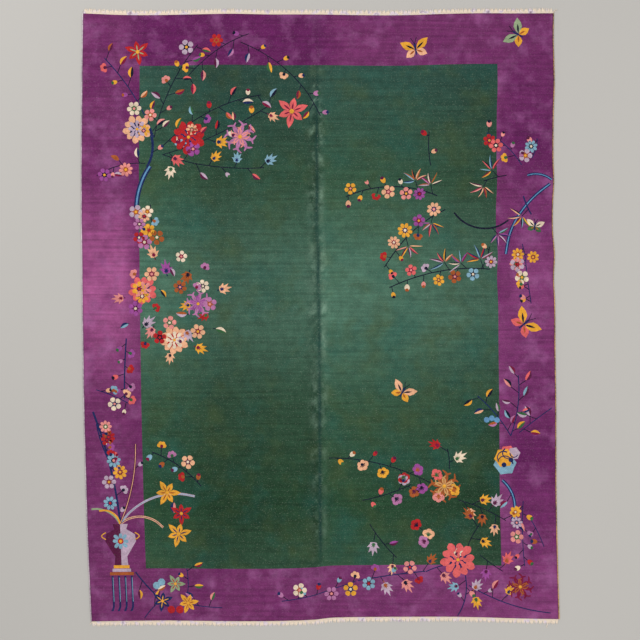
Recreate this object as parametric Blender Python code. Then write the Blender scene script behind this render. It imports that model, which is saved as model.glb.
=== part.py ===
"""A Chinese art deco carpet of the 1920s, hand-knotted in wool, lying flat on the floor.

The carpet is about 9 by 11 1/2 feet. Its pile and foundation are one thick sheet, with an uneven
outline, rounded edges and one long crease down the middle, where it was kept folded. An overcast
cord runs down each side, and the cotton warps make a web with a short fringe at each end.

Metres, +Z up. The origin is on the floor under the middle of the carpet, +X runs across it and
+Y along it, to the end where the tree of the design grows.
"""

import math
from bisect import bisect_right
from collections import namedtuple

import bmesh
import bpy

MM = 0.001

# The sheet of pile, as set up on the loom: a plain rectangle before it pulled out of true.
PILE_WIDTH = 2.740
PILE_LENGTH = 3.530
PILE_TOP = 0.0130
PILE_SIDE = 0.0075
WAVE_HEIGHT = 0.0005
WAVE_ACROSS = 0.95
WAVE_ALONG = 1.30

# The edging.
GAP = 0.0005
CORD_RADIUS = 0.0034
CORD_SIDES_EACH_QUARTER = 2
WEB_DEPTH = 0.0090
WEB_THICKNESS = 0.0030
TUFT_PITCH = 0.0300
TUFT_ROOT = 0.0270
TUFT_TIP = 0.0190
TUFT_LENGTH = 0.0185
TUFT_SPREAD = 0.0025
TUFT_RHYTHM = 2.4

# The grid that the sheet is shaped on.
EDGE_STEPS = (0.0, 0.0030, 0.0080)
CREASE_STEPS = (0.0, 0.006, 0.013, 0.022, 0.036, 0.060)
COLUMNS_EACH_SIDE = 8
ROWS = 34

# How far each side stands towards +X from its straight line, in mm, at places along the carpet.
SideRow = namedtuple("SideRow", "along left right")
SIDES = (
    SideRow(-1.765, 37, 21),
    SideRow(-1.60, 29, 16),
    SideRow(-1.33, 17, 9),
    SideRow(-1.05, 8, 3),
    SideRow(-0.77, 0, 2),
    SideRow(-0.49, -7, 1),
    SideRow(-0.21, -11, -3),
    SideRow(0.07, -15, -5),
    SideRow(0.22, -17, -12),
    SideRow(0.36, -18, -7),
    SideRow(0.50, -20, -18),
    SideRow(0.64, -21, -18),
    SideRow(0.78, -21, -11),
    SideRow(0.92, -21, -15),
    SideRow(1.20, -19, -13),
    SideRow(1.34, -18, -8),
    SideRow(1.48, -17, -10),
    SideRow(1.62, -15, -14),
    SideRow(1.765, -13, -12),
)

# How far each end stands towards +Y from its straight line, in mm, at places across the carpet.
EndRow = namedtuple("EndRow", "across near far")
ENDS = (
    EndRow(-1.37, -10, 9),
    EndRow(-1.15, -7, 0),
    EndRow(-0.95, -5, -1),
    EndRow(-0.74, -7, 3),
    EndRow(-0.50, -9, 7),
    EndRow(-0.30, -8, 3),
    EndRow(-0.14, -4, 3),
    EndRow(-0.05, 1, 3),
    EndRow(0.05, 12, 2),
    EndRow(0.32, 16, -2),
    EndRow(0.52, 17, -1),
    EndRow(0.74, 17, 6),
    EndRow(0.94, 13, 10),
    EndRow(1.14, 7, 9),
    EndRow(1.37, 3, 10),
)

# The middle crease: where its line wanders to, and the depth and half width of its trough, in mm.
CreaseRow = namedtuple("CreaseRow", "along line depth reach")
CREASE = (
    CreaseRow(-1.765, -22, 2.4, 13),
    CreaseRow(-1.20, -14, 3.2, 15),
    CreaseRow(-0.60, -6, 3.0, 15),
    CreaseRow(0.10, -3, 3.6, 17),
    CreaseRow(0.80, -6, 3.0, 14),
    CreaseRow(1.30, -7, 1.8, 11),
    CreaseRow(1.765, -8, 1.4, 10),
)
SHOULDER_SHARE = 0.20
SHOULDER_PLACE = 2.2  # in half widths of the trough
SHARP_ANGLE = 40  # degrees

# Colours are linear values of the dyed wool and the bare cotton.
FIELD_GREEN = (0.036, 0.105, 0.070)
LEFT_CORD_LILAC = (0.42, 0.30, 0.40)
RIGHT_CORD_GOLD = (0.55, 0.34, 0.18)
FRINGE_IVORY = (0.78, 0.68, 0.58)
PILE_ROUGHNESS = 0.9
YARN_ROUGHNESS = 0.85
COTTON_ROUGHNESS = 0.9


def smooth(rows, place, column, at):
    """The column's value at a place, on a smooth curve through the table's rows."""
    places = [getattr(row, place) for row in rows]
    values = [getattr(row, column) for row in rows]
    last = len(rows) - 1

    def slope(k):
        before, after = max(k - 1, 0), min(k + 1, last)
        return (values[after] - values[before]) / (places[after] - places[before])

    k = min(max(bisect_right(places, at) - 1, 0), last - 1)
    span = places[k + 1] - places[k]
    t = min(max((at - places[k]) / span, 0.0), 1.0)
    start = values[k] * (1 + 2 * t) * (1 - t) ** 2 + slope(k) * span * t * (1 - t) ** 2
    end = values[k + 1] * (3 - 2 * t) * t**2 + slope(k + 1) * span * (t - 1) * t**2
    return start + end


def lie(across, along):
    """Where a place on the loom lies on the floor, now that the carpet has pulled out of true."""
    left = smooth(SIDES, "along", "left", along)
    right = smooth(SIDES, "along", "right", along)
    near = smooth(ENDS, "across", "near", across)
    far = smooth(ENDS, "across", "far", across)
    to_right = across / PILE_WIDTH + 0.5
    to_far = along / PILE_LENGTH + 0.5
    x = across + (left + (right - left) * to_right) * MM
    y = along + (near + (far - near) * to_far) * MM
    return x, y


def roll_off(inwards):
    """The share of the pile's side that has rounded over, this far in from an edge."""
    return max(0.0, 1 - inwards / EDGE_STEPS[-1]) ** 2


def pile_height(across, along):
    """The height of the pile's tips above the floor."""
    wave = math.sin(math.tau * across / WAVE_ACROSS) * math.cos(math.tau * along / WAVE_ALONG)
    line = smooth(CREASE, "along", "line", along) * MM
    depth = smooth(CREASE, "along", "depth", along) * MM
    reach = smooth(CREASE, "along", "reach", along) * MM
    off = (across - line) / reach
    trough = math.exp(-(off**2)) - SHOULDER_SHARE * math.exp(-((abs(off) - SHOULDER_PLACE) ** 2))
    to_side = PILE_WIDTH / 2 - abs(across)
    to_end = PILE_LENGTH / 2 - abs(along)
    rolled = max(roll_off(to_side), roll_off(to_end)) * (PILE_TOP - PILE_SIDE)
    return PILE_TOP + WAVE_HEIGHT * wave - depth * trough - rolled


def stations(half, inner):
    """Places from -half to half: close together at both edges, and at the inner places given."""
    edge = [half - step for step in EDGE_STEPS]
    return sorted([-place for place in edge] + inner + edge)


def column_stations(along):
    """Places across the carpet, closest at its sides and at the crease, whose line they follow."""
    line = smooth(CREASE, "along", "line", along) * MM
    outer = PILE_WIDTH / 2
    step = (outer - CREASE_STEPS[-1]) / COLUMNS_EACH_SIDE
    field = [CREASE_STEPS[-1] + step * k for k in range(1, COLUMNS_EACH_SIDE)]
    beside = [line + side * off for off in CREASE_STEPS[1:] for side in (-1, 1)]
    return stations(outer, [-place for place in field] + [line] + beside + field)


def row_stations():
    """Places along the carpet, evenly spaced but for the rounded ends."""
    outer = PILE_LENGTH / 2
    step = PILE_LENGTH / ROWS
    return stations(outer, [-outer + step * k for k in range(1, ROWS)])


def wool(name, colour, roughness):
    """A matt material for dyed wool or cotton."""
    material = bpy.data.materials.new(name)
    material.use_nodes = True
    shader = material.node_tree.nodes["Principled BSDF"]
    shader.inputs["Base Color"].default_value = (*colour, 1.0)
    shader.inputs["Roughness"].default_value = roughness
    shader.inputs["Metallic"].default_value = 0.0
    return material


def add_object(name, data, material, collection):
    """Puts a mesh or curve in the collection as one named object."""
    data.materials.append(material)
    made = bpy.data.objects.new(name, data)
    collection.objects.link(made)
    return made


def make_body(collection):
    """Pile and foundation: a grid shaped to the tips, extruded down to the flat underside."""
    rows = row_stations()
    columns = [column_stations(along) for along in rows]
    across_cells, along_cells = len(columns[0]) - 1, len(rows) - 1
    shape = bmesh.new()
    bmesh.ops.create_grid(shape, x_segments=across_cells, y_segments=along_cells, size=0.5)
    for vert in shape.verts:
        row = round((vert.co.y + 0.5) * along_cells)
        across = columns[row][round((vert.co.x + 0.5) * across_cells)]
        vert.co = (*lie(across, rows[row]), pile_height(across, rows[row]))
    copied = bmesh.ops.extrude_face_region(shape, geom=shape.faces[:], use_keep_orig=True)
    for element in copied["geom"]:
        if isinstance(element, bmesh.types.BMVert):
            element.co.z = 0.0
    underside = [face for face in shape.faces if all(vert.co.z == 0.0 for vert in face.verts)]
    bmesh.ops.dissolve_faces(shape, faces=underside)
    bmesh.ops.recalc_face_normals(shape, faces=shape.faces[:])
    mesh = bpy.data.meshes.new("rug_body")
    shape.to_mesh(mesh)
    shape.free()
    mesh.shade_smooth()
    mesh.set_sharp_from_angle(angle=math.radians(SHARP_ANGLE))
    add_object("rug_body", mesh, wool("dyed_wool_pile", FIELD_GREEN, PILE_ROUGHNESS), collection)


def make_cord(name, side, colour, collection):
    """An overcast side cord, laid on the floor just outside the pile's edge."""
    curve = bpy.data.curves.new(name, "CURVE")
    curve.dimensions = "3D"
    curve.bevel_depth = CORD_RADIUS
    curve.bevel_resolution = CORD_SIDES_EACH_QUARTER
    curve.use_fill_caps = True
    rows = row_stations()
    spline = curve.splines.new("POLY")
    spline.points.add(len(rows) - 1)
    for point, along in zip(spline.points, rows):
        x, y = lie(side * PILE_WIDTH / 2, along)
        point.co = (x + side * (GAP + CORD_RADIUS), y, CORD_RADIUS, 1.0)
    add_object(name, curve, wool(name + "_yarn", colour, YARN_ROUGHNESS), collection)


def tuft_length(number):
    """The fringe is cut by hand, so its tufts differ a little from one to the next."""
    return TUFT_LENGTH + TUFT_SPREAD * math.sin(number * TUFT_RHYTHM)


def end_place(across, end):
    """Where a place on the pile's end lies: on the straight runs between the sheet's columns."""
    along = end * PILE_LENGTH / 2
    columns = column_stations(along)
    k = min(max(bisect_right(columns, across) - 1, 0), len(columns) - 2)
    share = (across - columns[k]) / (columns[k + 1] - columns[k])
    x_before, y_before = lie(columns[k], along)
    x_after, y_after = lie(columns[k + 1], along)
    return x_before + (x_after - x_before) * share, y_before + (y_after - y_before) * share


def web_stations(tufts):
    """Places across the web: both its corners, and both sides of each tuft's root."""
    first = -(tufts - 1) * TUFT_PITCH / 2
    roots = []
    for number in range(tufts):
        middle = first + number * TUFT_PITCH
        roots += [middle - TUFT_ROOT / 2, middle + TUFT_ROOT / 2]
    return [-PILE_WIDTH / 2] + roots + [PILE_WIDTH / 2]


def make_fringe(name, end, collection):
    """The web and its fringe as one comb: a strip along the pile's end, with tufts pulled out."""
    tufts = int(PILE_WIDTH / TUFT_PITCH)
    places = web_stations(tufts)
    shape = bmesh.new()
    bmesh.ops.create_grid(shape, x_segments=len(places) - 1, y_segments=1, size=0.5)
    outer = {}
    for vert in shape.verts:
        station = round((vert.co.x + 0.5) * (len(places) - 1))
        out = WEB_DEPTH if vert.co.y > 0 else 0.0
        x, y = end_place(places[station], end)
        vert.co = (x, y + end * (GAP + out), 0.0)
        if out:
            outer[station] = vert
    for number in range(tufts):
        root = [outer[2 * number + 1], outer[2 * number + 2]]
        pulled = bmesh.ops.extrude_edge_only(shape, edges=[shape.edges.get(root)])
        tip = [made for made in pulled["geom"] if isinstance(made, bmesh.types.BMVert)]
        middle = sum(vert.co.x for vert in root) / 2
        for vert in tip:
            vert.co.x = middle + (vert.co.x - middle) * TUFT_TIP / TUFT_ROOT
            vert.co.y += end * tuft_length(number)
    raised = bmesh.ops.extrude_face_region(shape, geom=shape.faces[:], use_keep_orig=True)
    for element in raised["geom"]:
        if isinstance(element, bmesh.types.BMVert):
            element.co.z = WEB_THICKNESS
    bmesh.ops.recalc_face_normals(shape, faces=shape.faces[:])
    mesh = bpy.data.meshes.new(name)
    shape.to_mesh(mesh)
    shape.free()
    add_object(name, mesh, wool(name + "_cotton", FRINGE_IVORY, COTTON_ROUGHNESS), collection)


def main():
    """Clears the scene and makes the carpet's five pieces."""
    for old in list(bpy.data.objects):
        bpy.data.objects.remove(old)
    collection = bpy.data.collections.new("art_deco_rug")
    bpy.context.scene.collection.children.link(collection)
    make_body(collection)
    make_cord("selvedge_left", -1, LEFT_CORD_LILAC, collection)
    make_cord("selvedge_right", 1, RIGHT_CORD_GOLD, collection)
    make_fringe("fringe_far", 1, collection)
    make_fringe("fringe_near", -1, collection)


main()
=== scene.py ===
"""A Chinese art deco carpet of the 1920s, hand-knotted in wool, laid flat on the floor.

A green field inside a purple border carries sprays of flowers that spill over from one to the
other. Every spray is knotted through the sheet, so it also shows underneath. Metres, +Z up.
"""

import logging
import math
import random
from bisect import bisect_right
from collections.abc import Sequence
from dataclasses import dataclass, field
from enum import Enum

import bmesh
import bpy
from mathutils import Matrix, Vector

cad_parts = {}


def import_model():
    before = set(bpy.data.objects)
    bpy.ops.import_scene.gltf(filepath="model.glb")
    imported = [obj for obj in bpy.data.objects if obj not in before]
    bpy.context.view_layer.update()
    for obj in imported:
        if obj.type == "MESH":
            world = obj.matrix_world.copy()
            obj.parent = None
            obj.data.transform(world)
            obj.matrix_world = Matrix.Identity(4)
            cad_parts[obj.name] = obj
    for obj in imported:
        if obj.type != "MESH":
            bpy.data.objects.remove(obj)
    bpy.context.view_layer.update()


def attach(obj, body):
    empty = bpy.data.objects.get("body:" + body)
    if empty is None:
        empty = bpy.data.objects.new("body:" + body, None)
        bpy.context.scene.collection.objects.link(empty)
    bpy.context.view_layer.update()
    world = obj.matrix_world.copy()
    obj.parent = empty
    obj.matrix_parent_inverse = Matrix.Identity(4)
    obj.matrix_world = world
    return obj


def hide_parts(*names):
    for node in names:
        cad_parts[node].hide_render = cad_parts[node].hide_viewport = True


LOG = logging.getLogger("carpet")
MM, CM = 0.001, 0.01
Point = tuple[float, float]
Rows = tuple[tuple[float, float], ...]

# Sockets of the Mix node when it mixes colours.
MIX_FACTOR, MIX_A, MIX_B, MIX_RESULT = 0, 6, 7, 2


class Dye(Enum):
    """The yarn colours of the design, as sRGB."""

    NAVY = "#1b2756"
    INK = "#14152c"
    SKY = "#7fa6b9"
    BLUE = "#5f8db2"
    RED = "#ae2227"
    CORAL = "#dc6262"
    PINK = "#de8a84"
    PEACH = "#e5ab86"
    CREAM = "#e2cdb4"
    GOLD = "#e2a035"
    RUST = "#a2542a"
    PLUM = "#561a3e"
    WINE = "#78163a"
    VIOLET = "#994a92"
    MAUVE = "#b0709c"
    LILAC = "#b7a0b2"
    SAGE = "#8f9f7c"
    GREEN = "#35603c"
    TAN = "#c79a63"


class Side(Enum):
    """The two long sides of the carpet."""

    LEFT = -1
    RIGHT = 1


class End(Enum):
    """The two ends of the carpet: the far one is where the tree grows."""

    NEAR = -1
    FAR = 1


def linear(colour: str) -> tuple[float, float, float, float]:
    """Turns an sRGB colour into the linear values that a shader takes.

    Args:
        colour: Six hex digits after a hash.

    Returns:
        Linear red, green and blue, and full opacity.
    """
    parts = [int(colour[k : k + 2], 16) / 255 for k in (1, 3, 5)]
    red, green, blue = (p / 12.92 if p <= 0.04045 else ((p + 0.055) / 1.055) ** 2.4 for p in parts)
    return red, green, blue, 1.0


def add_node(
    tree: bpy.types.NodeTree, kind: str, settings: dict | None = None, links: dict | None = None
) -> bpy.types.Node:
    """Adds one node with its settings and links.

    Args:
        tree: The material's nodes.
        kind: The node's type.
        settings: Values of its inputs or attributes; "stops" fills a colour ramp.
        links: The sockets that feed its inputs, by the input's name or number.

    Returns:
        The new node.
    """
    node = tree.nodes.new(kind)
    for name, value in (settings or {}).items():
        if name == "stops":
            ramp = node.color_ramp
            while len(ramp.elements) < len(value):
                ramp.elements.new(1.0)
            for element, (place, colour) in zip(ramp.elements, value):
                element.position, element.color = place, linear(colour)
        elif isinstance(name, int) or name in node.inputs:
            node.inputs[name].default_value = value
        else:
            setattr(node, name, value)
    for name, socket in (links or {}).items():
        tree.links.new(socket, node.inputs[name])
    return node


@dataclass
class Drift:
    """A smooth curve through a few places, such as how far an edge has wandered."""

    rows: Rows
    known: dict[float, float] = field(default_factory=dict)

    def at(self, place: float) -> float:
        """The curve's value at a place, worked out once.

        Args:
            place: Metres along or across.

        Returns:
            The value.
        """
        if place not in self.known:
            self.known[place] = self._between(place)
        return self.known[place]

    def _slope(self, k: int) -> float:
        """The slope at a row, from its neighbours.

        Args:
            k: The row's number.

        Returns:
            The slope.
        """
        before, after = self.rows[max(k - 1, 0)], self.rows[min(k + 1, len(self.rows) - 1)]
        return (after[1] - before[1]) / (after[0] - before[0])

    def _between(self, place: float) -> float:
        """Follows a cubic between the two rows beside a place.

        Args:
            place: Where on the curve.

        Returns:
            The value there.
        """
        places = [row[0] for row in self.rows]
        k = min(max(bisect_right(places, place) - 1, 0), len(places) - 2)
        (start, value), (stop, next_value) = self.rows[k], self.rows[k + 1]
        span = stop - start
        t = min(max((place - start) / span, 0.0), 1.0)
        first = value * (1 + 2 * t) * (1 - t) ** 2 + self._slope(k) * span * t * (1 - t) ** 2
        second = next_value * (3 - 2 * t) * t**2 + self._slope(k + 1) * span * (t - 1) * t**2
        return first + second


@dataclass(frozen=True)
class Pucker:
    """A short fold beside the crease: its middle, heading from +X in degrees, and its size."""

    across: float
    along: float
    heading: float
    rise: float
    reach: float = 15 * MM
    breadth: float = 4.5 * MM

    def height(self, across: float, along: float) -> float:
        """The fold's rise at a place on the loom's plan.

        Args:
            across: Metres from the middle, towards +X.
            along: Metres from the middle, towards +Y.

        Returns:
            Metres above the pile round it.
        """
        x, y = across - self.across, along - self.along
        if abs(x) + abs(y) > 3 * self.reach:
            return 0.0
        turn = math.radians(self.heading)
        run = (x * math.cos(turn) + y * math.sin(turn)) / self.reach
        off = (y * math.cos(turn) - x * math.sin(turn)) / self.breadth
        return self.rise * math.exp(-(run**2) - off**2)


def crease_puckers() -> tuple[Pucker, ...]:
    """The herringbone of short folds along the crease, strongest where it was folded hardest.

    Returns:
        The folds, from the far end to the near end.
    """
    folds = []
    places = random.Random(19)
    for row, (along, strength) in enumerate(PUCKER_PLACES):
        for side in (-1, 1):
            off = (10 + 6 * places.random()) * MM
            lean = 38 + 14 * places.random()
            across = CREASE_LINE.at(along) * MM + side * off
            shift = (places.random() - 0.5) * 10 * MM
            rise = strength * (0.6 + 0.5 * places.random()) * MM
            folds.append(Pucker(across, along + shift, -side * lean, rise * (1 if row % 2 else 0.8)))
    return tuple(folds)


# How far each edge stands towards +X or +Y from its straight line, in mm, at places in metres.
LEFT_EDGE = Drift((
    (-1.765, 37), (-1.60, 29), (-1.33, 17), (-1.05, 8), (-0.77, 0), (-0.49, -7), (-0.21, -11),
    (0.07, -15), (0.22, -17), (0.36, -18), (0.50, -20), (0.64, -21), (0.78, -21), (0.92, -21),
    (1.20, -19), (1.34, -18), (1.48, -17), (1.62, -15), (1.765, -13),
))
RIGHT_EDGE = Drift((
    (-1.765, 21), (-1.60, 16), (-1.33, 9), (-1.05, 3), (-0.77, 2), (-0.49, 1), (-0.21, -3),
    (0.07, -5), (0.22, -12), (0.36, -7), (0.50, -18), (0.64, -18), (0.78, -11), (0.92, -15),
    (1.20, -13), (1.34, -8), (1.48, -10), (1.62, -14), (1.765, -12),
))
NEAR_EDGE = Drift((
    (-1.37, -10), (-1.15, -7), (-0.95, -5), (-0.74, -7), (-0.50, -9), (-0.30, -8), (-0.14, -4),
    (-0.05, 1), (0.05, 12), (0.32, 16), (0.52, 17), (0.74, 17), (0.94, 13), (1.14, 7), (1.37, 3),
))
FAR_EDGE = Drift((
    (-1.37, 9), (-1.15, 0), (-0.95, -1), (-0.74, 3), (-0.50, 7), (-0.30, 3), (-0.14, 3),
    (-0.05, 3), (0.05, 2), (0.32, -2), (0.52, -1), (0.74, 6), (0.94, 10), (1.14, 9), (1.37, 10),
))
# The middle crease: its line, and the depth and half width of its trough, in mm.
CREASE_LINE = Drift((
    (-1.765, -22), (-1.20, -14), (-0.60, -6), (0.10, -3), (0.80, -6), (1.30, -7), (1.765, -8),
))
CREASE_DEPTH = Drift((
    (-1.765, 2.4), (-1.20, 3.2), (-0.60, 3.0), (0.10, 3.6), (0.80, 3.0), (1.30, 1.8), (1.765, 1.4),
))
CREASE_REACH = Drift((
    (-1.765, 13), (-1.20, 15), (-0.60, 15), (0.10, 17), (0.80, 14), (1.30, 11), (1.765, 10),
))
# Where the short folds stand along the crease, not quite evenly, and how high they rise, in mm.
PUCKER_PLACES: Rows = tuple(
    (1.35 - 0.1 * k + 0.02 * math.sin(2.3 * k), 1.0 + 0.4 * math.sin(1.7 * k)) for k in range(28)
)


@dataclass
class Lie:
    """How the carpet lies: where each place of the loom's plan is on the floor, and its height."""

    width: float = 2.740
    length: float = 3.530
    pile_top: float = 13.0 * MM
    pile_side: float = 7.5 * MM
    underside: float = 0.6 * MM
    rounding: float = 8.0 * MM
    wave_height: float = 0.5 * MM
    wave_across: float = 0.95
    wave_along: float = 1.30
    shoulder: float = 0.20
    shoulder_place: float = 2.2
    puckers: tuple[Pucker, ...] = field(default_factory=crease_puckers)

    def place(self, across: float, along: float) -> Point:
        """Where a place of the plan lies, now that the carpet has pulled out of true.

        Args:
            across: Metres from the middle, towards +X.
            along: Metres from the middle, towards +Y.

        Returns:
            X and Y on the floor.
        """
        to_right = across / self.width + 0.5
        to_far = along / self.length + 0.5
        left, right = LEFT_EDGE.at(along), RIGHT_EDGE.at(along)
        near, far = NEAR_EDGE.at(across), FAR_EDGE.at(across)
        x = across + (left + (right - left) * to_right) * MM
        y = along + (near + (far - near) * to_far) * MM
        return x, y

    def off_crease(self, across: float, along: float) -> float:
        """How far a place is to the right of the crease, in half widths of its trough."""
        return (across - CREASE_LINE.at(along) * MM) / (CREASE_REACH.at(along) * MM)

    def folds(self, across: float, along: float) -> float:
        """The rise of the short folds beside the crease, at a place near it.

        Args:
            across: Metres from the middle, towards +X.
            along: Metres from the middle, towards +Y.

        Returns:
            Metres.
        """
        near = abs(self.off_crease(across, along)) < 6
        return sum(fold.height(across, along) for fold in self.puckers) if near else 0.0

    def height(self, across: float, along: float) -> float:
        """The height of the pile's tips above the floor.

        Args:
            across: Metres from the middle, towards +X.
            along: Metres from the middle, towards +Y.

        Returns:
            Metres above the floor.
        """
        wave = math.sin(math.tau * across / self.wave_across)
        wave *= math.cos(math.tau * along / self.wave_along)
        off = self.off_crease(across, along)
        shoulders = self.shoulder * math.exp(-((abs(off) - self.shoulder_place) ** 2))
        trough = (math.exp(-(off**2)) - shoulders) * CREASE_DEPTH.at(along) * MM
        inwards = min(self.width / 2 - abs(across), self.length / 2 - abs(along))
        rolled = max(0.0, 1 - inwards / self.rounding) ** 2 * (self.pile_top - self.pile_side)
        folds = self.folds(across, along)
        return self.pile_top + self.wave_height * wave - trough - rolled + folds


@dataclass(frozen=True)
class Axis:
    """A line from a base to a tip, in plan centimetres, for placing points beside it."""

    base: Point
    tip: Point

    @property
    def length(self) -> float:
        """Its length."""
        return math.dist(self.base, self.tip)

    def at(self, share: float, left: float = 0.0) -> Point:
        """A point a share of the way to the tip and a distance to the left of the line.

        Args:
            share: How far along it is, from 0 to 1.
            left: How far to the left it is.

        Returns:
            The point.
        """
        x, y = self.tip[0] - self.base[0], self.tip[1] - self.base[1]
        off = left / max(self.length, 1e-6)
        return self.base[0] + x * share - y * off, self.base[1] + y * share + x * off


def ray(centre: Point, heading: float, start: float, stop: float) -> Axis:
    """A line that leaves a centre at a heading in degrees, between two distances from it.

    Args:
        centre: Where it leaves from.
        heading: Degrees from +X, towards +Y.
        start: How far out it begins.
        stop: How far out it ends.

    Returns:
        The line.
    """
    turn = math.radians(heading)
    x, y = math.cos(turn), math.sin(turn)
    base = (centre[0] + x * start, centre[1] + y * start)
    return Axis(base, (centre[0] + x * stop, centre[1] + y * stop))


def lobe(axis: Axis, breadth: float, count: int = 10) -> list[Point]:
    """A rounded petal's outline, a little fuller towards its tip.

    Args:
        axis: From the petal's base to its tip.
        breadth: Its widest.
        count: How many points the outline has.

    Returns:
        The outline.
    """
    outline = []
    for k in range(count):
        turn = math.tau * k / count
        share = 0.5 - 0.5 * math.cos(turn)
        outline.append(axis.at(share, breadth / 2 * math.sin(turn) * (0.8 + 0.35 * share)))
    return outline


def disc(centre: Point, radius: float, count: int = 10, scallop: float = 0.0) -> list[Point]:
    """A round outline, whose points may stand in and out by turns.

    Args:
        centre: Its middle.
        radius: Its radius.
        count: How many points it has.
        scallop: The share of the radius by which every second point stands in.

    Returns:
        The outline.
    """
    turns = [math.tau * (k + 0.25) / count for k in range(count)]
    reach = [radius * (1 - scallop * (k % 2)) for k in range(count)]
    return [(centre[0] + r * math.cos(t), centre[1] + r * math.sin(t)) for t, r in zip(turns, reach)]


def flowing(points: Sequence[Point], step: float = 1.6) -> list[Point]:
    """A smooth line through the points, so that no stem has a corner.

    Args:
        points: The places it passes through, in plan centimetres.
        step: About how far apart the new points stand.

    Returns:
        The smooth line's points.
    """
    ends = [points[0], *points, points[-1]]
    line = [points[0]]
    for before, start, stop, after in zip(ends, ends[1:], ends[2:], ends[3:]):
        parts = max(2, round(math.dist(start, stop) / step))
        for k in range(1, parts + 1):
            t = k / parts
            weights = (
                (-(t**3) + 2 * t**2 - t) / 2, (3 * t**3 - 5 * t**2 + 2) / 2,
                (-3 * t**3 + 4 * t**2 + t) / 2, (t**3 - t**2) / 2,
            )
            four = (before, start, stop, after)
            line.append(tuple(sum(w * p[i] for w, p in zip(weights, four)) for i in (0, 1)))
    return line


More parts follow.
